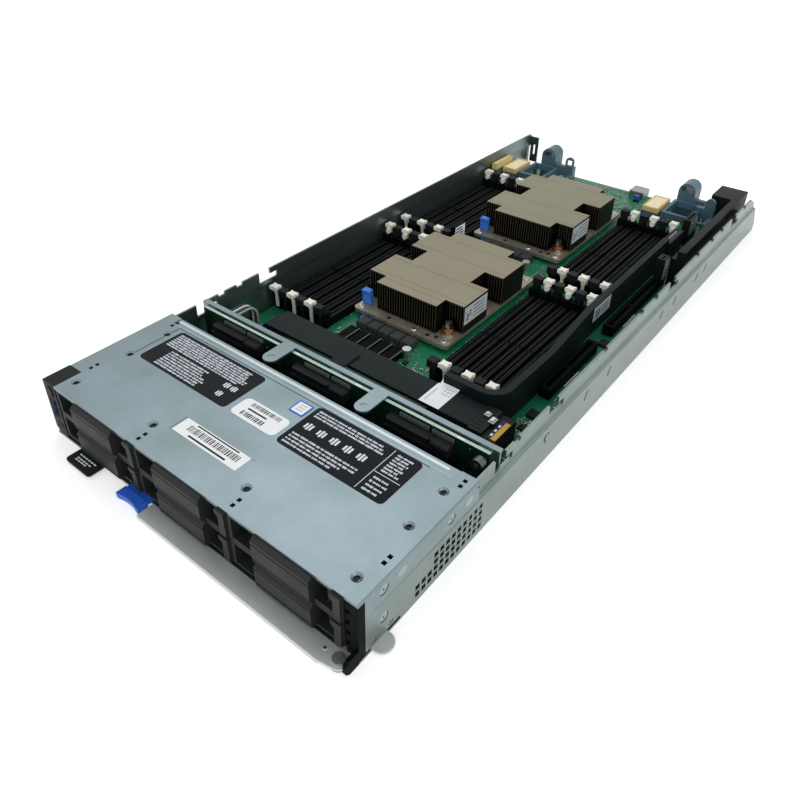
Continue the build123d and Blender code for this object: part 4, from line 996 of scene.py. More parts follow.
@dataclass
class FrontDetails:
    """Small parts of the front: port tongue, tag bars, lever rivet, lines of painted groove shade on the
    blanks, wall marks with a disc of painted shade for a hole.
    """

    blanks: tuple[str, ...] = ("lower_1", "lower_2", "lower_3", "upper_1", "upper_2", "upper_3")
    block_x: tuple[float, float] = (19.8, 57.6)
    block_y: tuple[float, float] = (-2.95, -2.86)
    contacts: int = 4
    contact_pitch: float = 2.4
    tag_rows: tuple[tuple[float, float, float], ...] = (
        (-4.6, -93.0, -78.0), (-7.0, -92.0, -80.0), (-8.6, -92.0, -82.0),
    )
    tag_bar: float = 2.1
    tag_pitch: float = 2.8
    rivet_spot: tuple[float, float] = (108.6, -5.2)
    wall: float = 125.08
    hole: tuple[float, float] = (94.0, 38.6)
    screw: tuple[float, float] = (168.9, 19.5)
    welds: tuple[float, ...] = (31.0, 86.0)
    weld_height: float = 35.0
    weld_stretch: float = 1.25

    def build(self) -> None:
        """Builds the port insert, the tag's bars, the rivet, the wall's marks and the blanks' lines of
        painted groove shade.
        """
        self.port()
        self.tag()
        self.rivet()
        self.spots()
        for place in self.blanks:
            self.groove_shade_lines(place)

    def groove_shade_lines(self, place: str) -> None:
        """Dark hair lines of painted shade, each standing for a groove, near the top and the foot of one
        blank's raised block.

        Args:
            place: Which blank, as its node's name ends.
        """
        low, high = span_of(f"drive_blank_{place}")
        left, right = (low.x + x for x in self.block_x)
        piece = Piece(f"blank_groove_shade_{place}", f"blank_{place}", "black_plastic")
        # Painted shade: flat dark strips stand for the groove lines.
        for z in (low.z + 2.4, high.z - 5.0):
            piece.slab(at(left, self.block_y[0], z), at(right, self.block_y[1], z + 0.8), SOCKET_BLACK_AND_GROOVE_SHADE)
        piece.close()

    def port(self) -> None:
        """Blue tongue with gold contacts inside the port shell."""
        low, high = span_of("front_port")
        x = (low.x + high.x) / 2
        y0, y1 = low.y - FRONT + 1.2, high.y - FRONT - 1.0
        piece = Piece("front_port_tongue", SLED, "blue_plastic")
        piece.slab(at(x - 0.2, y0, low.z + 1.2), at(x + 1.5, y1, high.z - 1.2), BLUE, bevel=0.2)
        for number in range(self.contacts):
            z = low.z + 2.6 + number * self.contact_pitch
            piece.slab(at(x - 0.35, y0 + 0.4, z), at(x - 0.1, y0 + 7.0, z + 1.2), GOLD)
        piece.close()

    def tag(self) -> None:
        """Plain pale bars on the pull-out tag."""
        piece = Piece("info_tag_bars", "tag", "pale_plastic")
        level = span_of("info_tag")[1].z
        for y, x, right in self.tag_rows:
            while x < right:
                piece.slab(at(x, y, level - 0.05), at(x + self.tag_bar, y + 0.9, level + 0.03), PALE_INK)
                x += self.tag_pitch
        piece.close()

    def rivet(self) -> None:
        """Round rivet near the lever's hinge end."""
        piece = Piece("lever_rivet", "lever", "bright_steel")
        level = span_of("release_lever")[1].z
        # The rivet's dome takes the lever's brightened zinc, painted light.
        piece.rod(at(*self.rivet_spot, level + 0.02), 1.5, 0.24, Along.Z, LEVER_ZINC_PAINTED_LIGHT, 20, 1.2)
        piece.rod(at(*self.rivet_spot, level + 0.14), 0.8, 0.1, Along.Z, CAGE_ZINC, 16)
        piece.close()

    def spots(self) -> None:
        """Dark disc of painted shade for a hole, flat screw and pale oval weld spots on the outside of the
        right wall.
        """
        piece = Piece("cover_flange_spots", SLED, "zinc_sheet")
        # Painted shade: a flat dark disc stands for the hole.
        piece.rod(at(self.wall, *self.hole), 0.9, 0.08, Along.X, INK_AND_HOLE_SHADE, 14)
        piece.rod(at(self.wall - 0.02, *self.screw), 2.6, 0.08, Along.X, SPOT_ZINC, 20)
        piece.rod(at(self.wall - 0.01, *self.screw), 1.2, 0.08, Along.X, CAGE_ZINC, 16)
        for y in self.welds:
            middle = at(self.wall, y, self.weld_height)
            verts = piece.rod(middle, 2.7, 0.06, Along.X, SPOT_ZINC, 24)
            bmesh.ops.scale(
                piece.mesh, vec=(1.0, self.weld_stretch, 1.0), verts=verts,
                space=Matrix.Translation(-middle),
            )
        piece.close()


@dataclass
class MemoryRows:
    """Latches with carved heads that stand for the pale ones, and paler edges of painted highlight along the
    sockets.

    A leg holds its reach, foot, top and bevel. A head holds half its width, half its depth, the hollow of
    its sides, its foot and its top.
    """

    rows: tuple[tuple[str, float], ...] = (("front", 182.7), ("rear", 346.0))
    span: float = 141.0
    pitch: float = 9.15
    left: float = -116.7
    right: float = 32.85
    count: int = 6
    socket_top: float = 14.0
    key: tuple[float, float] = (62.6, 66.0)
    end: float = 8.4
    stem: float = 4.0
    legs: tuple[tuple[float, float, float, float], ...] = ((1.28, 8.8, 20.0, 0.12), (2.0, 20.0, 23.8, 0.15))
    heads: tuple[tuple[float, float, float, float, float], ...] = (
        (2.4, 2.2, 0.0, 23.6, 24.8), (3.5, 3.1, 0.75, 24.7, 27.8),
    )

    def places(self, pale: bool) -> list[float]:
        """Middles of the sockets, those with pale latches only where asked.

        Args:
            pale: Whether only those with pale latches are asked for.

        Returns:
            The middles.
        """
        left = [self.left + self.pitch * n for n in range(self.count)]
        right = [self.right + self.pitch * n for n in range(self.count)]
        return left[0::2] + right[1::2] if pale else left + right

    def build(self) -> None:
        """Builds four sets of latches and two sets of painted highlight edges."""
        for bank, row in self.rows:
            for end, outward, y in (("near", -1.0, row), ("far", 1.0, row + self.span)):
                piece = Piece(f"latch_heads_{bank}_{end}", f"pale_{bank}_{end}", "pale_plastic")
                for x in self.places(True):
                    self.latch(piece, x, y, outward)
                piece.close(f"pale_latches_{bank}_{end}")
            self.contacts(bank, row)

    def latch(self, piece: Piece, x: float, y: float, outward: float) -> None:
        """One latch: stem in two legs, flared neck and a head with four hollowed sides.

        Args:
            piece: Piece that gets the latch.
            x: Middle of the socket.
            y: Middle of the head, from the front.
            outward: Minus one at the front end, one at the rear end.
        """
        deep = y - outward * self.stem
        y0, y1 = sorted((y, deep))
        for side in (-1, 1):
            for reach, low, high, bevel in self.legs:
                inner, outer = sorted((x + side * 0.4, x + side * reach))
                piece.slab(at(inner, y0, low), at(outer, y1, high), PALE, bevel=bevel, steps=1)
        y0, y1 = sorted((y - outward * 1.2, deep))
        piece.slab(at(x - 0.5, y0, 9.4), at(x + 0.5, y1, 24.2), PALE)
        for reach, half, hollow, low, high in self.heads:
            piece.prism(
                [
                    (x - reach, y - half), (x, y - half + hollow), (x + reach, y - half),
                    (x + reach - hollow, y), (x + reach, y + half), (x, y + half - hollow),
                    (x - reach, y + half), (x - reach + hollow, y),
                ],
                low, high, PALE,
            )

    def contacts(self, bank: str, row: float) -> None:
        """Thin paler strips of painted highlight along each socket's groove and its right side, broken at
        the key.

        Args:
            bank: Which bank, for the piece's name.
            row: Its front end.
        """
        piece = Piece(f"socket_edge_highlights_{bank}", SLED, "black_plastic")
        stretches = ((row + self.end, row + self.key[0]), (row + self.key[1], row + self.span - self.end))
        # Painted highlight: paler strips along the socket edges.
        for x in self.places(False):
            for start, end in stretches:
                for near, far, rise in ((-1.5, -0.95, 0.16), (0.95, 1.5, 0.16), (2.75, 3.15, 0.1)):
                    piece.slab(
                        at(x + near, start, self.socket_top - 0.1),
                        at(x + far, end, self.socket_top + rise), SOCKET_EDGE_HIGHLIGHT,
                    )
        piece.close()


@dataclass
class Backplane:
    """Pale sawn edge of the upright board, combs over its connectors, and the captive screw's slot and well
    in painted shade.
    """

    face: float = 116.0
    thickness: float = 2.4
    top: float = 40.2
    half: float = 117.4
    tabs: tuple[float, ...] = (-98.0, -30.0, 22.0, 40.0, 96.0)
    cage_left: float = -112.8
    cage_pitch: float = 76.2
    cages: int = 3
    offset: float = 11.0
    comb_low: float = 35.0
    combs: tuple[tuple[float, int], ...] = ((7.0, 14), (30.0, 10))
    pin_pitch: float = 1.5
    lids: tuple[tuple[float, float, float, float, float], ...] = (
        (1.0, 31.0, 7.2, 1.8, 0.5), (33.6, 44.4, 7.4, 1.0, 0.6),
    )

    def build(self) -> None:
        """Builds the edge strip, the combs and the screw's slot."""
        self.edge()
        comb = Piece("connector_combs", SLED, "black_plastic")
        for column in range(self.cages):
            self.connector(comb, self.cage_left + self.cage_pitch * column + self.offset)
        comb.close()
        self.thumb()

    def edge(self) -> None:
        """Sawn edge along the board's top, with tinned tabs."""
        y0, y1 = self.face + 0.1, self.face + self.thickness - 0.1
        piece = Piece("backplane_edge", SLED, "board_laminate")
        piece.slab(at(-self.half, y0, self.top - 0.2), at(self.half, y1, self.top + 0.1), EDGE)
        for x in self.tabs:
            piece.slab(at(x, self.face + 0.4, self.top), at(x + 5.0, self.face + 1.8, self.top + 0.16), TIN)
        piece.close()

    def connector(self, piece: Piece, left: float) -> None:
        """Two combs of pins and two raised lids on one drive connector.

        Args:
            piece: Piece that gets them.
            left: Left end of the connector.
        """
        low = self.comb_low
        for start, count in self.combs:
            base = left + start
            piece.slab(
                at(base - 0.6, self.face - 1.6, low),
                at(base + count * self.pin_pitch, self.face, low + 1.2), LATCH_BLACK_AND_WELL_SHADE, bevel=0.2, steps=1,
            )
            for number in range(count):
                x = base + number * self.pin_pitch
                piece.slab(
                    at(x, self.face - 1.3, low + 1.0), at(x + 0.75, self.face, low + 3.4),
                    CONTACT_GREY,
                )
        for start, end, front, rear, rise in self.lids:
            piece.slab(
                at(left + start, self.face - front, low), at(left + end, self.face - rear, low + rise),
                LATCH_BLACK_AND_WELL_SHADE, bevel=0.2, steps=1,
            )

    def thumb(self) -> None:
        """Dark disc of painted shade for a well, with a bright pin crossed by a dark bar of painted shade
        for its slot, in the captive screw's face.
        """
        low, high = span_of("backplane_thumbscrew")
        x, _, z = (low + high) / 2
        y = low.y - FRONT
        piece = Piece("thumbscrew_slot", SLED, "bright_steel")
        # Painted shade: a dark disc stands for the well round the pin.
        piece.rod(at(x, y + 0.02, z), 2.7, 0.1, Along.Y, LATCH_BLACK_AND_WELL_SHADE, 24)
        piece.rod(at(x, y, z), 1.5, 0.24, Along.Y, TIN, 16)
        # Painted shade: a dark bar stands for the pin's slot.
        piece.slab(at(x - 1.2, y - 0.14, z - 0.25), at(x + 1.2, y, z + 0.25), LATCH_BLACK_AND_WELL_SHADE)
        piece.close()


@dataclass
class CableDetails:
    """Flap, label, clips and strips on the flat cable, and the labels by the side cable."""

    top: float = 24.0
    plug_top: float = 21.8
    face: float = 89.5
    paper: float = 0.24
    label_fold: float = 167.0
    tail_angle: float = 24.0
    label_rows: tuple[float, ...] = (158.6, 161.6, 164.4)
    label_columns: int = 3
    clips: tuple[Span, ...] = ((87.8, 92.0, 158.2, 162.4), (93.2, 97.4, 154.2, 160.0))
    strip_marks: tuple[float, ...] = (147.4, 152.0, 156.6)
    plug_ribs: tuple[float, ...] = (146.0, 149.4, 152.8, 156.2, 159.6, 163.0)
    side_bars: tuple[float, ...] = (306.0, 309.0, 312.0)
    side_lines: tuple[float, ...] = (4.0, 6.0, 8.0, 10.0)
    tapes: tuple[tuple[float, float], ...] = (
        (186.0, 3.0), (208.0, 3.0), (348.0, 0.0), (380.0, 0.0), (412.0, 0.0),
    )
    blocks: tuple[tuple[float, float, float, float, float], ...] = (
        (91.05, 494.0, 511.0, 16.0, 29.6), (103.0, 402.8, 411.2, 15.0, 31.6),
    )
    block_rows: int = 5
    pins: int = 9
    pin_start: float = 450.0
    pin_pitch: float = 2.6
    pin_levels: tuple[float, float] = (26.95, 27.06)

    def build(self) -> None:
        """Builds every small part of the two flat cables and of the blocks beside them."""
        self.flap()
        self.label()
        self.plug()
        self.side_label()
        self.block_labels()

    def flap(self) -> None:
        """Stiff flap in two flat layers over the flat cable's front edge."""
        piece = Piece("ribbon_flap", SLED, "cable_sleeve")
        piece.slab(at(-21.6, 138.4, self.top), at(-9.0, 157.4, self.top + 1.1), TAPE_BLACK, bevel=0.4)
        piece.slab(at(-20.8, 139.2, self.top + 1.0), at(-9.8, 156.6, self.top + 1.3), TAPE_BLACK, bevel=0.1)
        piece.close()

    def label(self) -> None:
        """Paper label across the flat cable with its free end standing up behind."""
        fold, low, high = self.label_fold, self.top + 0.15, self.top + self.paper
        piece = Piece("ribbon_label", SLED, "pale_plastic")
        verts = piece.slab(at(48.4, 145.2, self.top), at(63.6, fold, self.top + 0.2), PAPER)
        tail = piece.slab(at(49.6, fold, self.top), at(63.6, 172.4, self.top + 0.2), PAPER)
        bmesh.ops.rotate(
            piece.mesh, verts=tail, cent=at(56.0, fold, self.top),
            matrix=Matrix.Rotation(math.radians(self.tail_angle), 3, "X"),
        )
        bmesh.ops.remove_doubles(piece.mesh, verts=verts + tail, dist=0.00001)
        for number, y in enumerate(self.label_rows):
            for part in range(self.label_columns):
                x = 56.2 + part * 2.3 - number * 0.3
                piece.slab(at(x, y, low), at(x + 1.5, y + 1.3, high), GREY_PAPER)
        piece.slab(at(50.6, 148.0, low), at(51.6, 162.0, high), GREY_PAPER)
        piece.close()

    def plug(self) -> None:
        """Two sprung clips, a navy strip with white marks, a gold strip and ribs on the plug."""
        top, low = self.top, self.plug_top
        piece = Piece("ribbon_plug_clips", SLED, "bright_steel")
        for x0, x1, y0, y1 in self.clips:
            piece.slab(at(x0, y0, top), at(x1, y1, top + 0.9), PORT_STEEL, bevel=0.3)
            piece.slab(at(x0 + 0.6, y0 + 1.4, top + 0.8), at(x1 - 1.2, y1 - 0.4, top + 1.5), CAN, bevel=0.3)
        piece.slab(at(98.6, 145.0, low - 0.1), at(101.2, 164.4, low + 0.3), NAVY, bevel=0.1)
        piece.slab(at(101.2, 144.6, low - 0.1), at(104.7, 163.0, low + 0.45), GOLD, bevel=0.15)
        for y in self.strip_marks:
            piece.slab(at(99.2, y, low), at(100.6, y + 2.2, low + 0.34), WHITE_INK)
        for y in self.plug_ribs:
            piece.slab(at(86.6, y, top - 0.1), at(92.6, y + 0.5, top + 0.25), TAPE_BLACK, bevel=0.1)
        piece.close()

    def side_label(self) -> None:
        """Grey film label on the side cable's outer face, and strips of tape on its top."""
        face, top = self.face, span_of("side_cable")[1].z
        piece = Piece("side_cable_label", SLED, "pale_plastic")
        piece.slab(at(face - 0.1, 303.6, top - 13.2), at(face + 0.2, 331.6, top - 1.4), GREY_PAPER)
        for y in self.side_bars:
            piece.slab(at(face, y, top - 11.2), at(face + 0.26, y + 1.6, top - 3.6), INK_AND_HOLE_SHADE)
        for down in self.side_lines:
            piece.slab(at(face, 315.4, top - down - 0.8), at(face + 0.26, 328.6, top - down), CONTACT_GREY)
        for y, shift in self.tapes:
            piece.slab(
                at(face - 2.6 + shift, y, top - 0.1), at(face - 1.2 + shift, y + 14.0, top + 0.12),
                TAPE_BLACK, bevel=0.1, steps=1,
            )
        piece.close()

    def block_labels(self) -> None:
        """Labels with lines on both connector blocks, and a double row of pins on one."""
        piece = Piece("connector_block_labels", SLED, "pale_plastic")
        for face, y0, y1, z0, z1 in self.blocks:
            piece.slab(at(face - 0.1, y0, z0), at(face + 0.16, y1, z1), GREY_PAPER)
            for row in range(self.block_rows):
                z = z0 + (z1 - z0) * (row + 0.3) / self.block_rows
                piece.slab(at(face, y0 + 1.0, z), at(face + 0.22, y1 - 1.4 - row % 2, z + 1.1), INK_AND_HOLE_SHADE)
        low, high = self.pin_levels
        for number in range(self.pins):
            y = self.pin_start + number * self.pin_pitch
            piece.slab(at(85.6, y, low), at(86.6, y + 1.5, high), GREY_PAPER)
            piece.slab(at(87.6, y + 0.3, low), at(89.0, y + 1.4, high), CONTACT_GREY)
        piece.close()


@dataclass
class HeatSinks:
    """Crimp rows of painted shade, side labels, springs, screws and wells with painted shade in their
    recesses, and pull tabs of both heat sinks.
    """

    middle: float = -23.0
    centres: tuple[float, float] = (278.3, 444.5)
    top: float = 36.5
    plate: float = 13.0
    pitch: float = 2.335
    half: float = 43.5
    crimp_rows: tuple[tuple[float, float], ...] = (
        (-45.0, 26.0), (-38.6, 42.6), (-15.0, 42.6), (15.0, 42.6), (38.6, 42.6),
    )
    label: Span = (-41.0, -11.4, 20.0, 34.6)
    label_lines: tuple[float, ...] = (22.6, 25.6, 28.6, 31.4)
    squares: int = 6
    square_pitch: float = 1.2
    square_share: float = 0.55
    square_seed: int = 41
    screws: tuple[tuple[float, float], ...] = (
        (38.0, -58.0), (-38.5, -58.6), (38.5, 58.0), (-38.5, 58.0), (12.0, -58.6),
    )
    wells: tuple[tuple[float, float], ...] = ((24.0, -58.4), (30.6, -56.6), (-12.0, -58.4))
    post: tuple[float, float] = (35.0, -48.0)
    coil: float = 3.9
    wire: float = 0.42
    turns: float = 3.6
    turn_steps: int = 72
    tab: tuple[float, float, float] = (-34.0, -63.0, 7.0)
    tab_bars: tuple[Span, ...] = ((0.0, 10.0, -5.6, -3.6), (0.0, 2.2, -5.6, 1.0), (7.8, 10.0, -5.6, 1.0))

    def build(self) -> None:
        """Builds the details of both heat sinks."""
        for place, centre in zip(("front", "rear"), self.centres):
            self.crimps(place, centre)
            self.side_label(place, centre)
            self.fasteners(place, centre)
            self.spring(place, centre)
            self.pull_tab(place, centre)

    def crimps(self, place: str, centre: float) -> None:
        """Rows of short dark marks of painted shade in the crimps across the fin tops.

        Args:
            place: Which heat sink, for the piece's name.
            centre: Its middle, from the front.
        """
        piece = Piece(f"fin_crimps_{place}", SLED, "nickel_fins")
        # Painted shade: dark marks stand for the dents of the crimps.
        for offset, half in self.crimp_rows:
            number = int(half / self.pitch)
            for step in range(-number, number + 1):
                x = self.middle + step * self.pitch
                piece.slab(
                    at(x - 0.62, centre + offset - 0.24, self.top - 0.05),
                    at(x + 0.62, centre + offset + 0.24, self.top + 0.03), FERRITE_AND_CRIMP_SHADE,
                )
        piece.close()

    def side_label(self, place: str, centre: float) -> None:
        """Grey film label on the outer fin at the right: a block of small squares and four lines.

        Args:
            place: Which heat sink, for the piece's name.
            centre: Its middle, from the front.
        """
        piece = Piece(f"fin_label_{place}", SLED, "pale_plastic")
        face = self.middle + self.half
        y0, y1 = centre + self.label[0], centre + self.label[1]
        piece.slab(at(face - 0.05, y0, self.label[2]), at(face + 0.14, y1, self.label[3]), GREY_PAPER)
        draw = random.Random(self.square_seed)
        for row in range(self.squares):
            for column in range(self.squares):
                if draw.random() < self.square_share:
                    y = y0 + 2.0 + column * self.square_pitch
                    z = 23.0 + row * self.square_pitch
                    piece.slab(at(face, y, z), at(face + 0.18, y + 1.0, z + 1.0), INK_AND_HOLE_SHADE)
        for z in self.label_lines:
            piece.slab(at(face, y0 + 11.4, z), at(face + 0.18, y1 - 3.0, z + 0.8), CONTACT_GREY)
        piece.close()

    def fasteners(self, place: str, centre: float) -> None:
        """Flat screws with dark discs of painted shade for their sockets, and dark discs of painted shade
        for wells, on the base plate.

        Args:
            place: Which heat sink, for the piece's name.
            centre: Its middle, from the front.
        """
        piece = Piece(f"base_screws_{place}", SLED, "bright_steel")
        for x, y in self.screws:
            spot = at(self.middle + x, centre + y, self.plate + 0.4)
            piece.rod(spot, 2.3, 0.8, Along.Z, TIN, 20, 1.9)
            # Painted shade: a dark disc stands for the screw's socket.
            piece.rod(spot + Vector((0, 0, 0.4 * MM)), 0.9, 0.2, Along.Z, INK_AND_HOLE_SHADE, 6)
        # Painted shade: dark discs stand for the wells.
        for x, y in self.wells:
            piece.rod(at(self.middle + x, centre + y, self.plate + 0.02), 1.7, 0.1, Along.Z, INK_AND_HOLE_SHADE, 18)
        piece.close()

    def spring(self, place: str, centre: float) -> None:
        """Copper spring round the right front post, a ring spun up along the post.

        Args:
            place: Which heat sink, for the piece's name.
            centre: Its middle, from the front.
        """
        piece = Piece(f"post_spring_{place}", SLED, "bright_steel")
        x, y = self.middle + self.post[0], centre + self.post[1]
        ring = bmesh.ops.create_circle(
            piece.mesh, segments=6, radius=self.wire * MM,
            matrix=Matrix.Translation(at(x + self.coil, y, self.plate + 2.1))
            @ Matrix.Rotation(math.pi / 2, 4, "X"),
        )["verts"]
        rim = list({e for v in ring for e in v.link_edges})
        bmesh.ops.spin(
            piece.mesh, geom=ring + rim, cent=at(x, y, 0.0), axis=(0.0, 0.0, 1.0),
            dvec=Vector((0.0, 0.0, 0.055 * MM)), angle=2 * math.pi * self.turns,
            steps=self.turn_steps, use_duplicate=False,
        )
        ends = [e for e in piece.mesh.edges if e.is_boundary]
        bmesh.ops.holes_fill(piece.mesh, edges=ends, sides=0)
        for face in piece.mesh.faces:
            face.material_index = piece.index(COPPER)
            face.smooth = True
        piece.close()

    def pull_tab(self, place: str, centre: float) -> None:
        """Blue tab of three bars at the base plate's front edge.

        Args:
            place: Which heat sink, for the piece's name.
            centre: Its middle, from the front.
        """
        piece = Piece(f"base_pull_tab_{place}", SLED, "blue_plastic")
        left, front, low = self.middle + self.tab[0], centre + self.tab[1], self.tab[2]
        for x0, x1, y0, y1 in self.tab_bars:
            piece.slab(
                at(left + x0, front + y0, low), at(left + x1, front + y1, low + 2.6), BLUE, bevel=0.5,
            )
        piece.close()


@dataclass(frozen=True)
class Field:
    """One open stretch of the system board, with how many small parts it may carry."""

    x0: float
    x1: float
    y0: float
    y1: float
    parts: int

    def margin(self, x: float, y: float) -> float:
        """Distance from a spot to the nearest edge of the stretch."""
        return min(x - self.x0, self.x1 - x, y - self.y0, self.y1 - y)


@dataclass
class BoardParts:
    """Small parts and white ink lines on the open stretches of the system board."""

    top: float = 6.6
    fields: tuple[Field, ...] = (
        Field(-64.0, -53.5, 170.0, 194.0, 60),
        Field(0.5, 24.0, 170.0, 194.0, 120),
        Field(95.5, 119.0, 171.0, 192.0, 130),
        Field(106.5, 119.5, 126.0, 170.0, 150),
        Field(108.5, 119.5, 193.0, 214.0, 60),
        Field(104.5, 119.5, 216.0, 294.0, 150),
        Field(108.5, 119.5, 295.0, 304.0, 24),
        Field(104.5, 119.5, 306.0, 398.0, 150),
        Field(22.5, 28.0, 214.0, 342.0, 36),
        Field(22.5, 28.0, 382.0, 506.0, 36),
        Field(8.0, 28.0, 343.0, 380.0, 60),
        Field(30.0, 84.0, 330.0, 342.0, 40),
        Field(-51.0, 2.0, 510.0, 575.0, 230),
        Field(2.0, 36.0, 510.0, 553.0, 110),
        Field(24.0, 54.0, 545.0, 575.0, 60),
        Field(92.5, 106.0, 478.0, 514.0, 60),
        Field(-120.0, -68.0, 490.0, 496.0, 20),
        Field(-64.0, -2.0, 345.0, 360.0, 50),
    )
    seed: int = 7
    inset: float = 1.6
    chip_from: float = 0.95
    chip_reach: float = 3.0
    part_reach: float = 1.15
    ceramic_share: float = 0.45
    ink_share: float = 0.6
    ink_width: float = 0.26
    legs: int = 5

    def build(self) -> None:
        """Builds the parts and the ink as one piece each."""
        draw = random.Random(self.seed)
        parts = Piece("board_small_parts", SLED, "board_laminate")
        ink = Piece("board_white_ink", SLED, "board_laminate")
        for stretch in self.fields:
            self.fill(stretch, parts, ink, draw)
        parts.close()
        ink.close()

    def fill(self, stretch: Field, parts: Piece, ink: Piece, draw: random.Random) -> None:
        """Scatters parts over one stretch, leaving out those that would touch another or its edge.

        Args:
            stretch: Stretch of the board.
            parts: Piece that gets the parts.
            ink: Piece that gets the ink lines.
            draw: Random draw that all stretches share.
        """
        taken: list[tuple[float, float, float]] = []
        for _ in range(stretch.parts):
            x = draw.uniform(stretch.x0 + self.inset, stretch.x1 - self.inset)
            y = draw.uniform(stretch.y0 + self.inset, stretch.y1 - self.inset)
            kind = draw.random()
            reach = self.chip_reach if kind > self.chip_from else self.part_reach
            if any(abs(x - a) < reach + r and abs(y - b) < reach + r for a, b, r in taken):
                continue
            if stretch.margin(x, y) < reach:
                continue
            taken.append((x, y, reach))
            turned = draw.random() < 0.5
            if kind > self.chip_from:
                self.chip(parts, x, y, 1.6 + draw.random(), turned)
            else:
                self.passive(parts, x, y, turned, CERAMIC if kind < self.ceramic_share else EPOXY)
            if draw.random() < self.ink_share:
                self.mark(ink, x, y, reach, draw)

    def passive(self, piece: Piece, x: float, y: float, turned: bool, body: Finish) -> None:
        """One two-ended part: body between two tinned ends.

        Args:
            piece: Piece that gets the part.
            x: Middle of the part.
            y: Middle of the part, from the front.
            turned: Whether it lies along y.
            body: Finish of its body.
        """
        high = self.top + 0.7
        half_x, half_y = (0.5, 0.8) if turned else (0.8, 0.5)
        end_x, end_y = (0.55, 0.28) if turned else (0.28, 0.55)
        piece.slab(at(x - half_x, y - half_y, self.top), at(x + half_x, y + half_y, high), body)
        for shift in (-0.85, 0.85):
            px, py = (x, y + shift) if turned else (x + shift, y)
            piece.slab(at(px - end_x, py - end_y, self.top), at(px + end_x, py + end_y, high + 0.05), TIN)

    def chip(self, piece: Piece, x: float, y: float, half: float, turned: bool) -> None:
        """One small chip with tinned legs on two sides.

        Args:
            piece: Piece that gets the chip.
            x: Middle of the chip.
            y: Middle of the chip, from the front.
            half: Half its side.
            turned: Whether its legs point along y.
        """
        piece.slab(
            at(x - half, y - half, self.top + 0.15), at(x + half, y + half, self.top + 1.3),
            EPOXY, bevel=0.12, steps=1,
        )
        wx, wy = (0.16, 0.45) if turned else (0.45, 0.16)
        for number in range(self.legs):
            along = (number - (self.legs - 1) / 2) * half * 0.42
            for side in (-1, 1):
                off = side * (half + 0.35)
                px, py = (x + along, y + off) if turned else (x + off, y + along)
                piece.slab(at(px - wx, py - wy, self.top), at(px + wx, py + wy, self.top + 0.5), TIN)

    def mark(self, piece: Piece, x: float, y: float, reach: float, draw: random.Random) -> None:
        """One short ink line in front of a part or at its left.

        Args:
            piece: Piece that gets the line.
            x: Middle of the part.
            y: Middle of the part, from the front.
            reach: How far off the line lies.
            draw: Random draw that all stretches share.
        """
        half = (0.8 + draw.random() * 1.6) / 2
        low, high = self.top - 0.05, self.top + 0.03
        if draw.random() < 0.5:
            x0, x1, y0, y1 = x - half, x + half, y - reach, y - reach + self.ink_width
        else:
            x0, x1, y0, y1 = x - reach, x - reach + self.ink_width, y - half, y + half
        piece.slab(at(x0, y0, low), at(x1, y1, high), WHITE_INK)


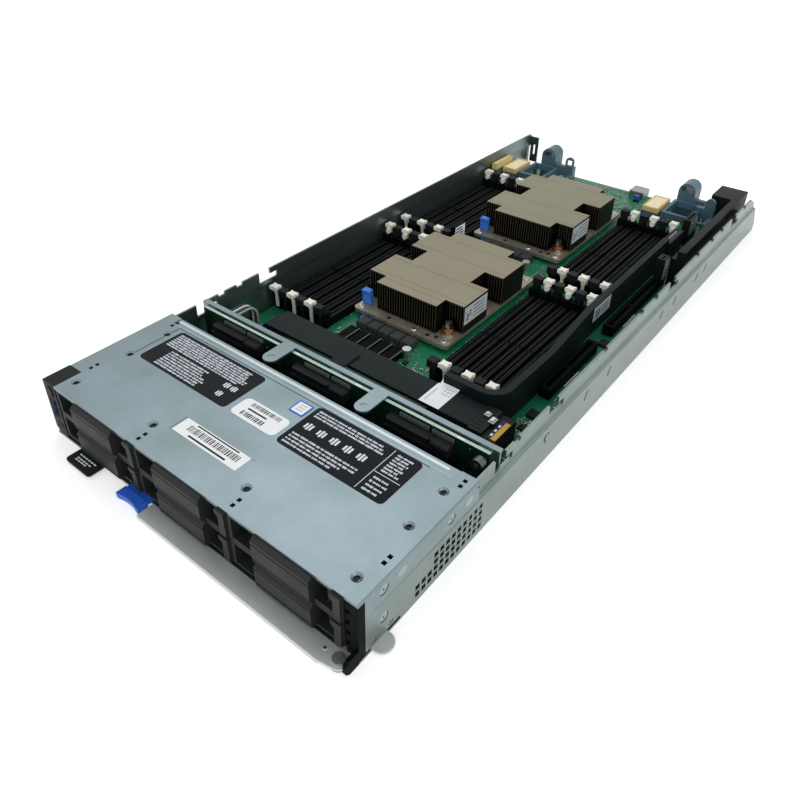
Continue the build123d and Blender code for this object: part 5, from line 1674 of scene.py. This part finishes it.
@dataclass
class RearParts:
    """Contacts and skirts of the cream connectors, a header, a filler block, ink bars and board ribs."""

    board: float = 6.6
    pad_x: tuple[float, float] = (-106.5, 47.2)
    pad_y: float = 525.0
    pad_top: float = 26.0
    columns: int = 4
    rows: int = 12
    pad_pitch: tuple[float, float] = (2.95, 2.28)
    pad_start: tuple[float, float] = (-5.7, -13.6)
    wall_rows: int = 13
    wall_start: float = 501.0
    wall_pitch: float = 2.2
    wall_skirt: tuple[float, float, float, float, float] = (-118.4, 515.0, 5.6, 32.0, 25.0)
    pad_skirt: tuple[float, float, float] = (15.0, 31.0, 21.4)
    skirt_half: float = 0.2
    header_pins: tuple[float, ...] = (15.1, 16.9)
    filler_rows: int = 4
    filler_pitch: float = 2.5
    slot_marks: tuple[tuple[float, float], ...] = ((236.0, 257.0), (330.0, 352.0))
    ribs: int = 5
    rib_start: float = -52.0
    rib_pitch: float = 10.4

    def build(self) -> None:
        """Builds the contacts, the header, the filler block, the ink bars, the ribs and the skirts."""
        self.contacts()
        self.header()
        self.filler()
        self.marks()
        self.ridges()
        self.skirts()

    def contacts(self) -> None:
        """Fields of pale contacts in two connectors, and one row on the connector by the wall."""
        piece = Piece("mezzanine_contacts", SLED, "cream_plastic")
        for middle in self.pad_x:
            for column in range(self.columns):
                for row in range(self.rows):
                    x = middle + self.pad_start[0] + column * self.pad_pitch[0]
                    y = self.pad_y + self.pad_start[1] + row * self.pad_pitch[1]
                    piece.slab(
                        at(x, y, self.pad_top - 1.5), at(x + 2.5, y + 1.75, self.pad_top - 0.05),
                        CREAM_PALE, bevel=0.15, steps=1,
                    )
        for row in range(self.wall_rows):
            y = self.wall_start + row * self.wall_pitch
            piece.slab(at(-119.6, y, 29.5), at(-117.2, y + 1.5, 30.9), CREAM_PALE)
        piece.close()

    def header(self) -> None:
        """Blue two-pin header on a black foot."""
        piece = Piece("rear_header", SLED, "blue_plastic")
        piece.slab(at(13.6, 555.0, self.board), at(18.4, 559.6, 9.0), EPOXY, bevel=0.2, steps=1)
        piece.slab(at(13.9, 555.3, 8.8), at(18.1, 559.3, 13.4), BLUE, bevel=0.4)
        for x in self.header_pins:
            piece.rod(at(x, 557.3, 13.6), 0.32, 0.9, Along.Z, GOLD, 8)
        piece.close()

    def filler(self) -> None:
        """Black block with a paper label at the front of the rear left bank."""
        piece = Piece("bank_filler_block", SLED, "black_plastic")
        piece.slab(at(-66.6, 345.5, self.board), at(-63.0, 363.0, 31.6), SOCKET_BLACK_AND_GROOVE_SHADE, bevel=0.4)
        piece.slab(at(-63.1, 347.0, 19.0), at(-62.8, 361.6, 30.8), PAPER)
        for row in range(self.filler_rows):
            up = row * self.filler_pitch
            piece.slab(at(-63.0, 348.2, 20.6 + up), at(-62.74, 360.2 - row, 21.8 + up), INK_AND_HOLE_SHADE)
        piece.close()

    def marks(self) -> None:
        """White ink bars beside the card slots."""
        piece = Piece("card_slot_marks", SLED, "pale_plastic")
        for y0, y1 in self.slot_marks:
            piece.slab(at(103.3, y0, self.board - 0.05), at(104.3, y1, self.board + 0.12), WHITE_INK)
        piece.close()

    def ridges(self) -> None:
        """Row of black ribs between the flat cable and the front chokes."""
        piece = Piece("board_ribs", SLED, "black_plastic")
        for number in range(self.ribs):
            x = self.rib_start + number * self.rib_pitch
            piece.slab(at(x, 171.0, self.board), at(x + 9.2, 196.6, 11.8), SOCKET_BLACK_AND_GROOVE_SHADE, bevel=0.4)
            piece.slab(at(x + 7.9, 171.6, 11.7), at(x + 8.8, 196.2, 11.95), CONTACT_GREY)
        piece.close()

    def skirts(self) -> None:
        """Slate housings round the lower part of the cream connectors."""
        piece = Piece("mezzanine_skirts", SLED, "slate_plastic")
        thick = self.skirt_half
        places = [(x, self.pad_y, *self.pad_skirt) for x in self.pad_x] + [self.wall_skirt]
        for x, y, wide, long, top in places:
            for side in (-1, 1):
                middle = x + side * wide / 2
                piece.slab(
                    at(middle - thick, y - long / 2 - thick, self.board),
                    at(middle + thick, y + long / 2 + thick, top), SLATE,
                )
                middle = y + side * long / 2
                piece.slab(
                    at(x - wide / 2, middle - thick, self.board),
                    at(x + wide / 2, middle + thick, top), SLATE,
                )
        piece.close()


@dataclass(frozen=True)
class Lamp:
    """One square lamp: where it stands, where it points, its side in metres and its power in watts."""

    name: str
    spot: tuple[float, float, float]
    target: tuple[float, float, float]
    size: float
    power: float


@dataclass
class Studio:
    """Floor, lamps, world and the camera at the photograph's place."""

    place: tuple[float, float, float] = (256.4, -144.46, 313.87)
    azimuth: float = 38.537
    elevation: float = 33.769
    roll: float = 0.458
    focal: float = 738.0
    frame: float = 800.0
    middle: tuple[float, float] = (390.0, 330.0)
    sensor: float = 36.0
    floor_half: float = 6.0
    floor_glow: float = 0.42
    soft_level: float = 0.6
    lights: tuple[Lamp, ...] = (
        Lamp("key", (-0.7, 0.5, 1.6), (0.0, 0.0, 0.0), 1.3, 6.0),
        Lamp("fill", (0.6, -1.5, 0.5), (0.0, -0.1, 0.0), 1.2, 6.0),
        Lamp("side", (1.5, -0.3, 0.8), (0.0, -0.05, 0.0), 1.2, 6.4),
    )

    def build(self) -> None:
        """Builds the floor, the lamps, the world and the camera."""
        self.floor()
        self.lamps()
        self.world()
        self.camera()

    def floor(self) -> None:
        """Wide pale floor just under the sled, white where the camera sees it directly."""
        mesh = bmesh.new()
        bmesh.ops.create_grid(mesh, x_segments=1, y_segments=1, size=self.floor_half)
        data = bpy.data.meshes.new("floor")
        mesh.to_mesh(data)
        mesh.free()
        thing = bpy.data.objects.new("floor", data)
        bpy.context.scene.collection.objects.link(thing)
        material = bpy.data.materials.new("pale_floor")
        material.use_nodes = True
        shader = material.node_tree.nodes["Principled BSDF"]
        shader.inputs["Base Color"].default_value = linear("#F4F4F2")
        shader.inputs["Roughness"].default_value = 0.9
        shader.inputs["Specular IOR Level"].default_value = 0.1
        shader.inputs["Emission Color"].default_value = (1.0, 1.0, 1.0, 1.0)
        glow = add(
            material.node_tree, "ShaderNodeMapRange", None,
            {0: self.direct(material.node_tree), 3: 0.0, 4: self.floor_glow},
        )
        material.node_tree.links.new(glow.outputs[0], shader.inputs["Emission Strength"])
        data.materials.append(material)

    def lamps(self) -> None:
        """High key over the left rear, a low fill from the front and a lamp at the right."""
        for lamp in self.lights:
            data = bpy.data.lights.new(lamp.name, "AREA")
            data.size = lamp.size
            data.energy = lamp.power
            thing = bpy.data.objects.new(lamp.name, data)
            thing.location = lamp.spot
            aim = Vector(lamp.target) - Vector(lamp.spot)
            thing.rotation_euler = aim.to_track_quat("-Z", "Y").to_euler()
            bpy.context.scene.collection.objects.link(thing)

    def world(self) -> None:
        """Soft white surround, plain white where the camera sees it."""
        world = bpy.data.worlds.new("studio")
        bpy.context.scene.world = world
        world.use_nodes = True
        tree = world.node_tree
        tree.nodes.clear()
        level = add(
            tree, "ShaderNodeMapRange", None, {0: self.direct(tree), 3: self.soft_level, 4: 1.0},
        )
        back = add(
            tree, "ShaderNodeBackground", None,
            {"Color": (1.0, 1.0, 1.0, 1.0), "Strength": level.outputs[0]},
        )
        add(tree, "ShaderNodeOutputWorld", None, {"Surface": back.outputs[0]})

    def direct(self, tree: bpy.types.NodeTree) -> bpy.types.NodeSocket:
        """One for rays from the camera, from a mirror or through glass, nought for soft light.

        Args:
            tree: Node tree of the floor or the world.

        Returns:
            The socket that carries the value.
        """
        ray = add(tree, "ShaderNodeLightPath")
        straight = add(
            tree, "ShaderNodeMath", {"operation": "MAXIMUM"},
            {0: ray.outputs["Is Camera Ray"], 1: ray.outputs["Is Transmission Ray"]},
        )
        seen = add(
            tree, "ShaderNodeMath", {"operation": "MAXIMUM"},
            {0: straight.outputs[0], 1: ray.outputs["Is Glossy Ray"]},
        )
        return seen.outputs[0]

    def camera(self) -> None:
        """Camera fitted to the photograph."""
        a, e, r = (math.radians(v) for v in (self.azimuth, self.elevation, self.roll))
        back = Vector((math.sin(a) * math.cos(e), -math.cos(a) * math.cos(e), math.sin(e)))
        right = Vector((math.cos(a), math.sin(a), 0.0))
        up = back.cross(right)
        turned_right = right * math.cos(r) + up * math.sin(r)
        turned_up = up * math.cos(r) - right * math.sin(r)
        data = bpy.data.cameras.new("camera")
        data.sensor_width = self.sensor
        data.lens = self.focal / self.frame * self.sensor
        data.shift_x = (self.frame / 2 - self.middle[0]) / self.frame
        data.shift_y = (self.middle[1] - self.frame / 2) / self.frame
        data.clip_start = 0.01
        view = bpy.data.objects.new("camera", data)
        turn = Matrix((turned_right, turned_up, back)).transposed().to_4x4()
        view.matrix_world = Matrix.Translation(at(*self.place)) @ turn
        bpy.context.scene.collection.objects.link(view)
        bpy.context.scene.camera = view


def main() -> None:
    """Loads the solids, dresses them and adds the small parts."""
    logging.basicConfig(level=logging.INFO, format="%(name)s %(message)s")
    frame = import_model()
    Studio().build()
    Solids(frame).dress()
    for assembly in (
        CoverLabels(), FrontDetails(), MemoryRows(), Backplane(), CableDetails(), HeatSinks(),
        BoardParts(), RearParts(),
    ):
        assembly.build()
    bpy.context.scene.view_settings.view_transform = "Standard"


if __name__ == "__main__":
    main()
